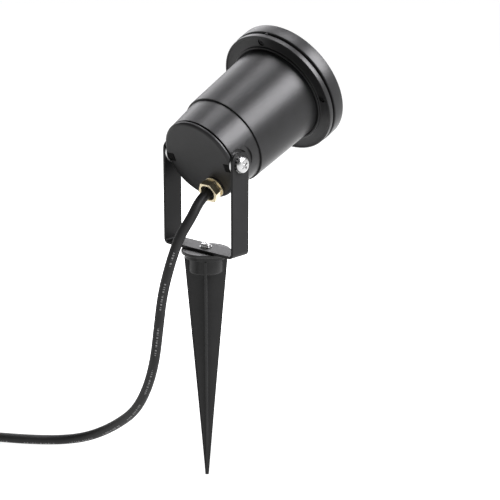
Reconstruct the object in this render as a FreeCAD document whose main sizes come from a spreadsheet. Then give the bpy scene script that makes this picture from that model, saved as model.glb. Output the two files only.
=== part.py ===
"""Garden spike spotlight: a tilting lamp head in a U bracket on a ground spike, with its lead.

Frame: +Z up, the lamp shines towards -Y, the tilt axis runs along X. The origin is on the spike's
axis at ground level, under the spike's top rim. All sizes are in millimetres and degrees.
"""
import FreeCAD, Part
import Sketcher
import math
import os

from FreeCAD import Placement, Rotation, Vector

SIZES = {
    # ground spike and the cap that closes its socket
    "spike_depth": 173.5,
    "rim_radius": 15.8,
    "rim_thick": 3.2,
    "socket_radius": 12.85,
    "socket_depth": 11.4,
    "socket_wall": 2.2,
    "socket_edge_round": 1.6,
    "blade_half_width": 16.2,
    "blade_tip_half": 1.1,
    "blade_thick": 1.9,
    "blade_turn": 41.75,
    "cap_radius": 18.4,
    "cap_thick": 2.4,
    "plug_fit": 0.2,
    "cap_plug_length": 8.0,
    # U bracket
    "strip_width": 17.4,
    "strip_thick": 2.0,
    "bracket_half_width": 34.8,
    "bend_inner_radius": 2.0,
    "pivot_over_plate": 70.0,
    "arm_over_pivot": 8.6,
    "arm_corner_radius": 6.0,
    "pan_hole_radius": 2.25,
    "pivot_hole_radius": 3.2,
    # pan screw
    "pan_screw_radius": 2.0,
    "pan_head_radius": 4.0,
    "pan_head_height": 2.4,
    "pan_washer_radius": 4.6,
    "pan_washer_thick": 0.5,
    "pan_nut_corner_radius": 4.04,
    "pan_nut_thick": 3.2,
    "recess_width": 1.0,
    "recess_depth": 1.3,
    # tilt pivot
    "tilt_at_rest": 23.5,
    "head_axis_rise": 1.0,
    "pivot_screw_radius": 3.0,
    "pivot_head_radius": 6.0,
    "pivot_head_height": 3.3,
    "pivot_thread_depth": 7.5,
    "tooth_washer_radius": 6.3,
    "tooth_washer_root": 5.1,
    "tooth_washer_thick": 0.8,
    "flat_washer_radius": 8.5,
    "flat_washer_thick": 1.6,
    "bush_radius": 7.6,
    "bush_length": 6.2,
    "bush_fit": 0.15,
    "boss_radius": 9.6,
    "spot_face_radius": 10.6,
    "arm_sweep_radius": 14.0,
    "arm_sweep_gap": 0.25,
    "boss_inner_length": 9.0,
    "thread_fit": 0.05,
    # lamp head, from the back face to the glass
    "pivot_to_back": 7.2,
    "cover_rim": 2.9,
    "cover_radius": 32.5,
    "cover_edge_round": 2.4,
    "cover_seal_thick": 1.4,
    "cover_seal_recess": 1.6,
    "cover_spigot_length": 4.4,
    "cover_spigot_wall": 2.7,
    "rear_length": 24.6,
    "rear_front_radius": 34.5,
    "rear_wall": 3.1,
    "spigot_fit": 0.2,
    "barrel_step": 1.3,
    "barrel_length": 66.2,
    "barrel_wall": 2.6,
    "joint_spigot_length": 8.0,
    "ring_section_radius": 0.7,
    "flange_inset": 0.5,
    "flange_width": 11.4,
    "flange_thick": 4.0,
    "flange_edge_round": 0.6,
    "flange_dish": 0.5,
    "lip_gap": 0.7,
    "lip_width": 1.7,
    "lip_height": 1.4,
    "seal_thick": 1.8,
    "seal_recess": 1.3,
    "bezel_radius": 50.0,
    "bezel_depth": 10.4,
    "bezel_edge_round": 1.5,
    "bezel_lip": 3.0,
    "bezel_face_width": 12.5,
    "glass_overlap": 1.9,
    "glass_thick": 5.0,
    "glass_seal_wall": 1.5,
    "bezel_screw_inset": 6.0,
    "bezel_screw_turn": -1.7,
    "bezel_screw_radius": 1.5,
    "bezel_screw_head_radius": 2.6,
    "bezel_screw_head_height": 1.6,
    "bezel_screw_length": 9.0,
    "head_recess_fit": 0.25,
    "head_recess_depth": 2.2,
    # cable gland
    "gland_x": -8.5,
    "gland_y": -20.5,
    "gland_thread_radius": 6.0,
    "gland_bore_fit": 0.2,
    "gland_ring_thick": 0.5,
    "gland_ring_radius": 7.9,
    "gland_flange_radius": 8.2,
    "gland_flange_thick": 1.2,
    "gland_hex_flats": 14.0,
    "gland_hex_length": 1.8,
    "gland_neck_length": 0.6,
    "gland_neck_radius": 6.6,
    "gland_male_length": 1.2,
    "gland_nut_flats": 15.5,
    "gland_nut_length": 5.2,
    "gland_mouth_depth": 2.6,
    "gland_inside": 4.6,
    # lead
    "cord_diameter": 7.6,
    "coil_start_radius": 48.0,
    "coil_gap": 0.45,
    # lamp, its holder and the wiring
    "strap_thick": 1.5,
    "strap_width": 10.0,
    "strap_over_pivot": 13.0,
    "strap_turn": -60.0,
    "strap_end_gap": 0.3,
    "strap_screw_circle": 20.0,
    "strap_screw_radius": 1.5,
    "strap_screw_head_radius": 2.8,
    "strap_screw_head_height": 1.9,
    "strap_screw_length": 10.0,
    "post_radius": 3.2,
    "post_gap": 0.4,
    "lug_length": 4.0,
    "lug_reach": 3.4,
    "earth_turn": 62.0,
    "earth_screw_circle": 24.0,
    "earth_screw_length": 5.0,
    "earth_lug_reach": 9.0,
    "earth_lug_width": 8.0,
    "earth_lug_height": 7.0,
    "earth_wire_y": 15.0,
    "holder_screw_offset": 8.0,
    "holder_screw_length": 7.0,
    "holder_radius": 13.0,
    "holder_length": 15.0,
    "lamp_base_radius": 12.2,
    "lamp_radius": 25.0,
    "lamp_length": 50.0,
    "lamp_neck_length": 10.0,
    "lamp_wall": 1.2,
    "lamp_lens_thick": 2.0,
    "lamp_pin_radius": 1.5,
    "lamp_pin_head_radius": 2.4,
    "lamp_pin_length": 6.5,
    "lamp_pin_spacing": 10.0,
    "block_width": 18.0,
    "block_height": 9.0,
    "block_depth": 8.0,
    "block_x": -4.0,
    "block_y": 2.0,
    "block_screw_radius": 1.3,
    "core_radius": 1.2,
    "core_rise": 5.5,
    "core_swing": 5.0,
    "lead_swing": 4.5,
    "lead_rise": 5.0,
    # tie and mains plug on the lead
    "tie_width": 9.0,
    "tie_thick": 1.2,
    "tie_slack": 1.2,
    "tie_height_slack": 0.1,
    "plug_face_radius": 18.5,
    "plug_face_length": 20.0,
    "plug_grip_radius": 13.0,
    "plug_grip_length": 22.0,
    "plug_relief_length": 24.0,
    "plug_relief_wall": 1.3,
    "plug_cord_depth": 8.0,
    "plug_pin_radius": 2.4,
    "plug_pin_length": 19.0,
    "plug_pin_spacing": 19.0,
    "plug_pin_seat": 6.0,
    "plug_root_radius": 3.0,
    "earth_clip_width": 6.0,
    "earth_clip_thick": 0.8,
    "earth_clip_length": 15.0,
}

# Free stretch of the lead: points chosen by eye along the lead, after its exit from the gland.
CORD_STRAIGHT = 10.0
CORD_POINTS = [
    (-9.2, 25.5, 37.0),
    (-5.6, 30.5, 23.5),
    (0.5, 34.0, 4.5),
    (8.5, 36.5, -23.0),
    (13.8, 37.0, -50.0),
    (19.0, 36.0, -77.0),
    (30.0, 33.5, -103.0),
    (47.0, 30.0, -126.0),
    (71.0, 26.0, -146.5),
    (95.0, 21.0, -161.5),
    (114.0, 21.0, -169.3),
    (130.0, 31.5, -169.7),
    (146.0, 47.5, -169.5),
    (170.0, 65.0, -168.8),
    (190.0, 78.5, -168.4),
    (211.8, 94.3, -168.4),
]
# Tail from the coil to the plug, seen from the coil's end: ahead, to the right, up.
TAIL_STEPS = [
    (8.5, 0.0, 0.0), (21.5, 3.0, 4.6), (33.0, 16.0, 10.6), (34.8, 35.0, 14.2), (27.0, 54.5, 16.8),
]
HALF_TURNS_IN = 5
HALF_TURNS_OUT = 3


doc = FreeCAD.newDocument("spike_spotlight")
sheet = doc.addObject("Spreadsheet::Sheet", "Sizes")
for row, (alias, value) in enumerate(SIZES.items(), start=1):
    sheet.set("A%d" % row, alias)
    sheet.set("B%d" % row, str(value))
    sheet.setAlias("B%d" % row, alias)
doc.recompute()

# Levels along the head's axis, from the pivot (0) towards the glass, and radii that follow.
BACK = "(-pivot_to_back)"
COVER_IN = "(cover_rim - pivot_to_back)"
PARTING = f"({COVER_IN} + cover_seal_thick)"
STEP = f"({PARTING} + rear_length)"
SPIGOT_END = f"({STEP} + joint_spigot_length)"
FLANGE = f"({STEP} + barrel_length)"
FLANGE_FRONT = f"({FLANGE} + flange_thick)"
BEZEL_BACK = f"({FLANGE_FRONT} + seal_thick)"
FRONT = f"({BEZEL_BACK} + bezel_depth)"
BEZEL_LIP_BACK = f"({FRONT} - bezel_lip)"
GLASS_BACK = f"({BEZEL_BACK} + glass_seal_wall)"
GLASS_FRONT = f"({GLASS_BACK} + glass_thick)"
FLANGE_RADIUS = "(bezel_radius - flange_inset)"
BARREL_FRONT_RADIUS = f"({FLANGE_RADIUS} - flange_width)"
SCREW_CIRCLE = "(bezel_radius - bezel_screw_inset)"
WINDOW_RADIUS = "(bezel_radius - bezel_face_width)"
GLASS_RADIUS = f"({WINDOW_RADIUS} + glass_overlap)"
GLASS_POCKET = f"({GLASS_RADIUS} + glass_seal_wall)"
BORE = "(cover_radius - rear_wall)"
COVER_SPIGOT = f"({BORE} - spigot_fit)"
SPIGOT = f"({BORE} + 2 * ring_section_radius + 0.8)"
BARREL_BACK_RADIUS = "(rear_front_radius + barrel_step)"
GROOVE = f"({SPIGOT} + spigot_fit - 2 * ring_section_radius)"
RING_LEVEL = f"({STEP} + joint_spigot_length / 2)"
HEAD_RECESS = f"({FLANGE} + head_recess_depth)"
GLAND_FLANGE = f"({BACK} - gland_ring_thick)"
GLAND_HEX = f"({GLAND_FLANGE} - gland_flange_thick)"
GLAND_NECK = f"({GLAND_HEX} - gland_hex_length)"
GLAND_NUT = f"({GLAND_NECK} - gland_neck_length)"
GLAND_FACE = f"({GLAND_NUT} - gland_nut_length)"
ENTRY_END = f"({BACK} + gland_inside + 1.5)"
STRAP_BACK = "(strap_over_pivot - strap_thick)"
LAMP_BACK = "(strap_over_pivot + holder_length)"
LAMP_FRONT = f"({LAMP_BACK} + lamp_length)"
# Places across the bracket, from the middle to an arm.
ARM_INSIDE = "(bracket_half_width - strip_thick)"
BOSS_FACE = f"({ARM_INSIDE} - flat_washer_thick)"
BUSH_SEAT = f"({BOSS_FACE} - bush_length)"
PIVOT_HEAD = "(bracket_half_width + tooth_washer_thick)"
# Heights above the ground.
PLATE = "(rim_thick + cap_thick)"
PLATE_TOP = f"({PLATE} + strip_thick)"
PIVOT_HEIGHT = f"({PLATE} + pivot_over_plate)"
CORD_RADIUS = "(cord_diameter / 2)"
HEX = 2 / math.sqrt(3)


def bound(text):
    """Words such as cap_radius become references to the sheet."""
    words = []
    word = ""
    for letter in str(text) + " ":
        if letter.isalnum() or letter == "_":
            word += letter
            continue
        words.append("Sizes." + word if word in SIZES else word)
        words.append(letter)
        word = ""
    return "".join(words).strip()


probe = doc.addObject("App::FeaturePython", "Probe")
probe.addProperty("App::PropertyFloat", "Answer")


def now(text):
    """The number that an expression of sizes gives."""
    probe.setExpression("Answer", bound(text))
    probe.recompute()
    return probe.Answer


def bind(item, **expressions):
    """Tie properties of a feature to the sheet. Two underscores stand for a dot."""
    for name, text in expressions.items():
        item.setExpression(name.replace("__", "."), bound(text))


def origin(body, role):
    """A plane or axis of the body's own origin."""
    return [item for item in body.Origin.OriginFeatures if item.Role == role][0]


def new_body(name):
    body = doc.addObject("PartDesign::Body", name)
    body.Label = name
    body.AllowCompound = True
    return body


def outline(body, corners, plane="XZ_Plane"):
    """A closed sketch of straight lines whose corners are pairs of expressions."""
    sketch = body.newObject("Sketcher::SketchObject", body.Name + "_outline")
    sketch.AttachmentSupport = (origin(body, plane), [""])
    sketch.MapMode = "FlatFace"
    points = [Vector(now(across), now(along), 0) for across, along in corners]
    count = len(points)
    for index in range(count):
        sketch.addGeometry(Part.LineSegment(points[index], points[(index + 1) % count]))
    for index in range(count):
        sketch.addConstraint(Sketcher.Constraint("Coincident", index, 2, (index + 1) % count, 1))
    for index, (across, along) in enumerate(corners):
        for kind, text, where in (("DistanceX", across, points[index].x), ("DistanceY", along, points[index].y)):
            name = "%s_%d" % (kind, index)
            number = sketch.addConstraint(Sketcher.Constraint(kind, index, 1, where))
            sketch.renameConstraint(number, name)
            if text != "0":
                sketch.setExpression("Constraints." + name, bound(text))
    return sketch


def turned(name, corners):
    """A body turned about its own Z axis from (radius, level) corners."""
    body = new_body(name)
    sketch = outline(body, corners)
    turn = body.newObject("PartDesign::Revolution", name + "_turn")
    turn.Profile = sketch
    turn.ReferenceAxis = (sketch, ["V_Axis"])
    turn.Angle = 360
    body.Tip = turn
    return body


def padded(name, corners, thick, plane="XZ_Plane"):
    """A body of one outline, given its thickness half to each side."""
    body = new_body(name)
    pad = body.newObject("PartDesign::Pad", name + "_pad")
    pad.Profile = outline(body, corners, plane)
    pad.SideType = "Symmetric"
    bind(pad, Length=thick)
    body.Tip = pad
    return body


LEANS = {"Z": Rotation(), "X": Rotation(Vector(0, 1, 0), 90), "-X": Rotation(Vector(0, 1, 0), -90)}


def feature(body, kind, name, at, lean="Z", turn=None, **sizes):
    """A primitive added to or cut from a body, at three expressions, leaning along an axis."""
    item = body.newObject("PartDesign::" + kind, body.Name + "_" + name)
    item.Placement = Placement(Vector(0, 0, 0), LEANS[lean])
    if turn is not None:
        item.Placement = Placement(Vector(0, 0, 0), Rotation(Vector(0, 0, 1), 1))
        bind(item, Placement__Rotation__Angle=turn)
    bind(item, Placement__Base__x=at[0], Placement__Base__y=at[1], Placement__Base__z=at[2])
    bind(item, **sizes)
    body.Tip = item
    return item


def cylinder(body, name, at, radius, height, lean="Z", cut=False):
    kind = "SubtractiveCylinder" if cut else "AdditiveCylinder"
    return feature(body, kind, name, at, lean, Radius=radius, Height=height)


def box(body, name, at, long, wide, high, turn=None, cut=False):
    kind = "SubtractiveBox" if cut else "AdditiveBox"
    return feature(body, kind, name, at, turn=turn, Length=long, Width=wide, Height=high)


def prism(body, name, at, corner_radius, height, cut=False):
    kind = "SubtractivePrism" if cut else "AdditivePrism"
    item = feature(body, kind, name, at, Circumradius=corner_radius, Height=height)
    item.Polygon = 6
    return item


def patterned(body, items, count, axis="Z_Axis", angle=360):
    pattern = body.newObject("PartDesign::PolarPattern", body.Name + "_pattern_" + items[0].Name)
    pattern.Originals = items
    pattern.Axis = (origin(body, axis), [""])
    pattern.Angle = angle
    pattern.Occurrences = count
    body.Tip = pattern
    return pattern


def both_sides(body, name, start, across, level, radius, length, cut=False):
    """Two cylinders that point outward along X from the same distance on each side."""
    cylinder(body, "right_" + name, (start, across, level), radius, length, lean="X", cut=cut)
    cylinder(body, "left_" + name, (f"-1 * {start}", across, level), radius, length, lean="-X", cut=cut)


def rounded(body, radius, wanted):
    """Round the edges that the test picks."""
    doc.recompute()
    base = body.Tip
    names = ["Edge%d" % (n + 1) for n, edge in enumerate(base.Shape.Edges) if wanted(edge)]
    item = body.newObject("PartDesign::Fillet", body.Name + "_round_%d" % len(body.Group))
    item.Base = (base, names)
    bind(item, Radius=radius)
    body.Tip = item
    return item


def ring_edge(radius, level):
    """Test for a full circle of this radius at this level."""
    def wanted(edge):
        if not isinstance(edge.Curve, Part.Circle):
            return False
        centre = edge.Curve.Center
        close = abs(edge.Curve.Radius - now(radius)) < 0.02 and abs(centre.z - now(level)) < 0.02
        return close and math.hypot(centre.x, centre.y) < 0.02
    return wanted


def polar_x(radius, angle):
    return f"({radius} * cos({angle} * 1 deg))"


def polar_y(radius, angle):
    return f"({radius} * sin({angle} * 1 deg))"


def on_head(body):
    """Stand a body that was made along Z on the tilted head's axis."""
    body.Placement = Placement(Vector(0, 0, 0), Rotation(Vector(1, 0, 0), 66))
    bind(body, Placement__Rotation__Angle="90 - tilt_at_rest")
    bind(body, Placement__Base__y="head_axis_rise * sin(tilt_at_rest * 1 deg)")
    bind(body, Placement__Base__z=f"{PIVOT_HEIGHT} + head_axis_rise * cos(tilt_at_rest * 1 deg)")
    return body


def on_pivot(body):
    """Lift a body that was made about the X axis to the pivot."""
    bind(body, Placement__Base__z=PIVOT_HEIGHT)
    return body


def head_point(x, y, along):
    """A point given in the head's own frame, in the part's frame."""
    tilt = math.radians(now("tilt_at_rest"))
    rise = now("head_axis_rise")
    up = y + rise
    return Vector(x, up * math.sin(tilt) - along * math.cos(tilt),
                  now(PIVOT_HEIGHT) + up * math.cos(tilt) + along * math.sin(tilt))


# ---------------------------------------------------------------- ground spike

def make_ground_spike():
    body = new_body("ground_spike")
    cylinder(body, "rim", ("0", "0", "0"), "rim_radius", "rim_thick")
    cylinder(body, "socket", ("0", "0", "-socket_depth"), "socket_radius", "socket_depth")
    rounded(body, "socket_edge_round", ring_edge("socket_radius", "-socket_depth"))
    blade = body.newObject("PartDesign::Pad", "ground_spike_blade")
    blade.Profile = outline(body, [
        ("-blade_half_width", "0"), ("-blade_tip_half", "-spike_depth"),
        ("blade_tip_half", "-spike_depth"), ("blade_half_width", "0")])
    blade.SideType = "Symmetric"
    bind(blade, Length="blade_thick")
    body.Tip = blade
    patterned(body, [blade], 2, angle=90)
    cylinder(body, "bore", ("0", "0", "socket_wall - socket_depth"), "socket_radius - socket_wall",
             "socket_depth + rim_thick", cut=True)
    body.Placement = Placement(Vector(0, 0, 0), Rotation(Vector(0, 0, 1), 1))
    bind(body, Placement__Rotation__Angle="blade_turn")
    return body


def make_spike_cap():
    """Disc that closes the socket, with a plug down into it and a pocket for the nut."""
    seat = "rim_thick"
    body = turned("spike_cap", [
        ("pan_screw_radius + thread_fit", f"{seat} - cap_plug_length"),
        ("socket_radius - socket_wall - plug_fit", f"{seat} - cap_plug_length"),
        ("socket_radius - socket_wall - plug_fit", seat), ("cap_radius", seat), ("cap_radius", PLATE),
        ("pan_screw_radius + thread_fit", PLATE)])
    prism(body, "nut_pocket", ("0", "0", f"{seat} - cap_plug_length"), "pan_nut_corner_radius + plug_fit",
          "pan_nut_thick", cut=True)
    return body


def make_pan_nut():
    body = new_body("pan_nut")
    level = "rim_thick - cap_plug_length"
    prism(body, "hex", ("0", "0", level), "pan_nut_corner_radius", "pan_nut_thick")
    cylinder(body, "hole", ("0", "0", level), "pan_screw_radius + thread_fit", "pan_nut_thick", cut=True)
    return body


def make_pan_screw():
    seat = f"({PLATE_TOP} + pan_washer_thick)"
    top = f"({seat} + pan_head_height)"
    body = turned("pan_screw", [
        ("0", "rim_thick - cap_plug_length"), ("pan_screw_radius", "rim_thick - cap_plug_length"),
        ("pan_screw_radius", seat), ("pan_head_radius", seat),
        ("pan_head_radius", f"{seat} + pan_head_height * 0.45"),
        ("pan_head_radius * 0.72", f"{seat} + pan_head_height * 0.9"),
        ("pan_head_radius * 0.4", top), ("0", top)])
    cross_recess(body, f"{top} - recess_depth", "pan_head_radius * 0.58", "recess_width")
    return body


def cross_recess(body, level, reach, width):
    """Two crossing slots sunk into a screw head."""
    box(body, "slot_long", (f"-{reach}", f"-{width} / 2", level), f"2 * {reach}", width, "recess_depth * 2",
        cut=True)
    box(body, "slot_wide", (f"-{width} / 2", f"-{reach}", level), width, f"2 * {reach}", "recess_depth * 2",
        cut=True)


def make_pan_washer():
    return turned("pan_washer", [
        ("pan_hole_radius", PLATE_TOP), ("pan_washer_radius", PLATE_TOP),
        ("pan_washer_radius", f"{PLATE_TOP} + pan_washer_thick"),
        ("pan_hole_radius", f"{PLATE_TOP} + pan_washer_thick")])


# ---------------------------------------------------------------- bracket

def make_bracket():
    """Steel strip bent to a U, with round pivot holes in the arms and a pan hole in the plate."""
    half = "bracket_half_width"
    arm_top = f"({PIVOT_HEIGHT} + arm_over_pivot)"
    body = padded("u_bracket", [
        (f"-{half}", PLATE), (half, PLATE), (half, arm_top), (ARM_INSIDE, arm_top),
        (ARM_INSIDE, PLATE_TOP), (f"-{ARM_INSIDE}", PLATE_TOP), (f"-{ARM_INSIDE}", arm_top),
        (f"-{half}", arm_top)], "strip_width")

    def bend(inside):
        x, z = (now(ARM_INSIDE), now(PLATE_TOP)) if inside else (now(half), now(PLATE))
        def wanted(edge):
            box_ = edge.BoundBox
            return (abs(abs(box_.Center.x) - x) < 0.02 and abs(box_.Center.z - z) < 0.02
                    and box_.YLength > now("strip_width") / 2)
        return wanted
    rounded(body, "bend_inner_radius", bend(True))
    rounded(body, "bend_inner_radius + strip_thick", bend(False))
    rounded(body, "arm_corner_radius", lambda edge: abs(edge.BoundBox.Center.z - now(arm_top)) < 0.02
            and edge.BoundBox.XLength > 0.5 and edge.BoundBox.YLength < 0.01)
    cylinder(body, "pivot_holes", ("-bracket_half_width - 1", "0", PIVOT_HEIGHT), "pivot_hole_radius",
             "2 * bracket_half_width + 2", lean="X", cut=True)
    cylinder(body, "pan_hole", ("0", "0", PLATE), "pan_hole_radius", "strip_thick", cut=True)
    return body


def make_flat_washers():
    body = new_body("flat_washers")
    both_sides(body, "disc", BOSS_FACE, "0", "0", "flat_washer_radius", "flat_washer_thick")
    cylinder(body, "hole", (f"-{PIVOT_HEAD}", "0", "0"), "pivot_hole_radius", f"2 * {PIVOT_HEAD}",
             lean="X", cut=True)
    return on_pivot(body)


def make_tooth_washers():
    """Shakeproof washers: a thin ring with outward teeth, under each pivot screw's head."""
    body = new_body("tooth_washers")
    for side, start in (("right", "bracket_half_width"), ("left", f"(-{PIVOT_HEAD})")):
        cylinder(body, side + "_ring", (start, "0", "0"), "tooth_washer_root", "tooth_washer_thick", lean="X")
        tooth = box(body, side + "_tooth", (start, "-0.75", "0"), "tooth_washer_thick", "1.5",
                    "tooth_washer_radius")
        patterned(body, [tooth], 12, axis="X_Axis")
    cylinder(body, "hole", (f"-{PIVOT_HEAD} - 1", "0", "0"), "pivot_hole_radius", f"2 * {PIVOT_HEAD} + 2",
             lean="X", cut=True)
    return on_pivot(body)


# ---------------------------------------------------------------- lamp head shells

def make_rear_housing():
    body = turned("rear_housing", [
        (BORE, PARTING), ("cover_radius", PARTING), ("rear_front_radius", STEP), (SPIGOT, STEP),
        (SPIGOT, f"{RING_LEVEL} - ring_section_radius - 0.1"), (GROOVE, f"{RING_LEVEL} - ring_section_radius - 0.1"),
        (GROOVE, f"{RING_LEVEL} + ring_section_radius + 0.1"), (SPIGOT, f"{RING_LEVEL} + ring_section_radius + 0.1"),
        (SPIGOT, SPIGOT_END), (BORE, SPIGOT_END)])
    pivot = "-head_axis_rise"
    inner = f"({BUSH_SEAT} - boss_inner_length)"
    both_sides(body, "boss", inner, pivot, "0", "boss_radius", f"{BOSS_FACE} - {inner}")
    cylinder(body, "behind", ("0", "0", f"{PARTING} - 2 * boss_radius"), "2 * cover_radius",
             "2 * boss_radius", cut=True)
    lug_in = f"({BORE} - lug_reach)"
    for number, turn in enumerate(("strap_turn", "strap_turn + 180")):
        radial_box(body, "lug_%d" % number, lug_in, "lug_reach + 0.6", "strap_width",
                   f"{STRAP_BACK} - lug_length", "lug_length", f"({turn})")
    radial_box(body, "earth_lug", f"({BORE} - earth_lug_reach)", "earth_lug_reach + 0.6", "earth_lug_width",
               "1", "earth_lug_height - 1", "earth_turn")
    both_sides(body, "spot_face", BOSS_FACE, pivot, "0", "spot_face_radius", "10", cut=True)
    both_sides(body, "arm_sweep", f"({ARM_INSIDE} - arm_sweep_gap)", pivot, "0", "arm_sweep_radius", "10", cut=True)
    both_sides(body, "bush_pocket", BUSH_SEAT, pivot, "0", "bush_radius + bush_fit", "20", cut=True)
    both_sides(body, "thread", f"({BUSH_SEAT} - pivot_thread_depth - 0.5)", pivot, "0",
               "pivot_screw_radius + thread_fit", "20", cut=True)
    at = (polar_x("earth_screw_circle", "earth_turn"), polar_y("earth_screw_circle", "earth_turn"),
          "earth_lug_height - earth_screw_length")
    cylinder(body, "earth_thread", at, "strap_screw_radius + thread_fit", "earth_screw_length", cut=True)
    return on_head(body)


def radial_box(body, name, start, long, wide, level, high, angle):
    """A block that points outward from the axis at an angle."""
    at = (f"{start} * cos({angle} * 1 deg) + {wide} / 2 * sin({angle} * 1 deg)",
          f"{start} * sin({angle} * 1 deg) - {wide} / 2 * cos({angle} * 1 deg)", level)
    return box(body, name, at, long, wide, high, turn=angle)


def notch_for_bushes(body):
    both_sides(body, "bush_notch", f"({BUSH_SEAT} - 2 * bush_fit)", "-head_axis_rise", "0",
               "bush_radius + 2 * bush_fit", "20", cut=True)
    both_sides(body, "washer_notch", f"({BOSS_FACE} - 2 * bush_fit)", "-head_axis_rise", "0",
               "flat_washer_radius + 2 * bush_fit", "20", cut=True)


def make_rear_cover():
    """Round back plate with a spigot, two screw posts, and the tapped hole for the gland."""
    spigot_end = f"({COVER_IN} + cover_spigot_length)"
    body = turned("rear_cover", [
        ("0", BACK), ("cover_radius", BACK), ("cover_radius", COVER_IN), (COVER_SPIGOT, COVER_IN),
        (COVER_SPIGOT, spigot_end), (f"{COVER_SPIGOT} - cover_spigot_wall", spigot_end),
        (f"{COVER_SPIGOT} - cover_spigot_wall", COVER_IN), ("0", COVER_IN)])
    rounded(body, "cover_edge_round", ring_edge("cover_radius", BACK))
    clear = "(boss_radius + head_axis_rise + 2 * bush_fit)"
    inner = f"({BUSH_SEAT} - boss_inner_length - 2 * bush_fit)"
    for side, start in (("right", inner), ("left", f"(-{inner} - 20)")):
        box(body, side + "_boss_gap", (start, f"-{clear}", COVER_IN), "20", f"2 * {clear}",
            "cover_spigot_length", cut=True)
    for number, angle in enumerate(("strap_turn", "(strap_turn + 180)")):
        at = (polar_x("strap_screw_circle", angle), polar_y("strap_screw_circle", angle))
        cylinder(body, "post_%d" % number, (*at, f"{COVER_IN} - 0.5"), "post_radius",
                 f"{STRAP_BACK} - post_gap - {COVER_IN} + 0.5")
        cylinder(body, "post_thread_%d" % number, (*at, "strap_over_pivot - strap_screw_length - 0.3"),
                 "strap_screw_radius + thread_fit", "20", cut=True)
    cylinder(body, "gland_hole", ("gland_x", "gland_y", f"{BACK} - 1"), "gland_thread_radius + thread_fit",
             "20", cut=True)
    notch_for_bushes(body)
    return on_head(body)


def make_cover_seal():
    body = turned("cover_seal", [
        (f"{COVER_SPIGOT} + thread_fit", COVER_IN), ("cover_radius - cover_seal_recess", COVER_IN),
        ("cover_radius - cover_seal_recess", PARTING), (f"{COVER_SPIGOT} + thread_fit", PARTING)])
    notch_for_bushes(body)
    return on_head(body)


def make_pivot_bushes():
    body = new_body("pivot_bushes")
    both_sides(body, "bush", BUSH_SEAT, "0", "0", "bush_radius", "bush_length")
    cylinder(body, "hole", (f"-{PIVOT_HEAD}", "0", "0"), "pivot_hole_radius", f"2 * {PIVOT_HEAD}",
             lean="X", cut=True)
    return on_pivot(body)


def make_pivot_screws():
    """Two pan-head screws: head outside the arm, thread in the housing's boss."""
    end = f"({BUSH_SEAT} - pivot_thread_depth)"
    top = f"({PIVOT_HEAD} + pivot_head_height)"
    half = "(pivot_head_height * 0.5)"
    long = "pivot_head_radius * 0.62"
    wide = "recess_width * 1.4"
    body = new_body("pivot_screws")
    for side, lean, sign in (("right", "X", ""), ("left", "-X", "-")):
        cylinder(body, side + "_shank", (sign + end, "0", "0"), "pivot_screw_radius",
                 f"{PIVOT_HEAD} - {end} + {half}", lean=lean)
        cylinder(body, side + "_head", (sign + PIVOT_HEAD, "0", "0"), "pivot_head_radius", half, lean=lean)
        feature(body, "AdditiveCone", side + "_dome", (f"{sign}({PIVOT_HEAD} + {half})", "0", "0"), lean=lean,
                Radius1="pivot_head_radius", Radius2="pivot_head_radius * 0.55", Height=half)
        floor = f"({top} - recess_depth)" if sign == "" else f"(-{top} - recess_depth)"
        box(body, side + "_slot_one", (floor, f"-{long}", f"-{wide} / 2"), "recess_depth * 2", f"2 * {long}",
            wide, cut=True)
        box(body, side + "_slot_two", (floor, f"-{wide} / 2", f"-{long}"), "recess_depth * 2", wide,
            f"2 * {long}", cut=True)
    return on_pivot(body)


def make_front_barrel():
    """The long cone-sided barrel with its joint socket, the lip and the front flange."""
    inner_back = f"({BARREL_BACK_RADIUS} - barrel_wall)"
    inner_front = f"({BARREL_FRONT_RADIUS} - barrel_wall)"
    socket = f"({SPIGOT} + spigot_fit)"
    shoulder = f"({SPIGOT_END} + 0.4)"
    lip_in = f"({BARREL_FRONT_RADIUS} + lip_gap)"
    lip_out = f"({lip_in} + lip_width)"
    rim = f"({FLANGE_RADIUS} - 1.4)"
    dish = f"({FLANGE} + flange_dish)"
    body = turned("front_barrel", [
        (socket, STEP), (BARREL_BACK_RADIUS, STEP), (BARREL_FRONT_RADIUS, FLANGE), (lip_in, FLANGE),
        (lip_in, f"{FLANGE} - lip_height"), (lip_out, f"{FLANGE} - lip_height"), (lip_out, dish), (rim, dish),
        (rim, FLANGE), (FLANGE_RADIUS, FLANGE), (FLANGE_RADIUS, FLANGE_FRONT),
        (inner_front, FLANGE_FRONT), (inner_back, shoulder), (socket, shoulder)])
    rounded(body, "flange_edge_round", lambda edge: ring_edge(FLANGE_RADIUS, FLANGE)(edge)
            or ring_edge(lip_out, f"{FLANGE} - lip_height")(edge))
    bezel_holes(body, FLANGE, "flange_thick", "bezel_screw_radius + head_recess_fit")
    bezel_holes(body, FLANGE, "head_recess_depth", "bezel_screw_head_radius + head_recess_fit")
    return on_head(body)


def bezel_holes(body, level, depth, radius):
    """Four holes on the bezel screws' circle."""
    at = (polar_x(SCREW_CIRCLE, "bezel_screw_turn"), polar_y(SCREW_CIRCLE, "bezel_screw_turn"))
    hole = cylinder(body, "hole_%d" % len(body.Group), (*at, level), radius, depth, cut=True)
    return patterned(body, [hole], 4)


def make_barrel_ring():
    body = new_body("barrel_ring")
    ring = feature(body, "AdditiveTorus", "ring", ("0", "0", RING_LEVEL),
                   Radius1=f"{GROOVE} + ring_section_radius", Radius2="ring_section_radius - thread_fit")
    return on_head(body)


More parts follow.
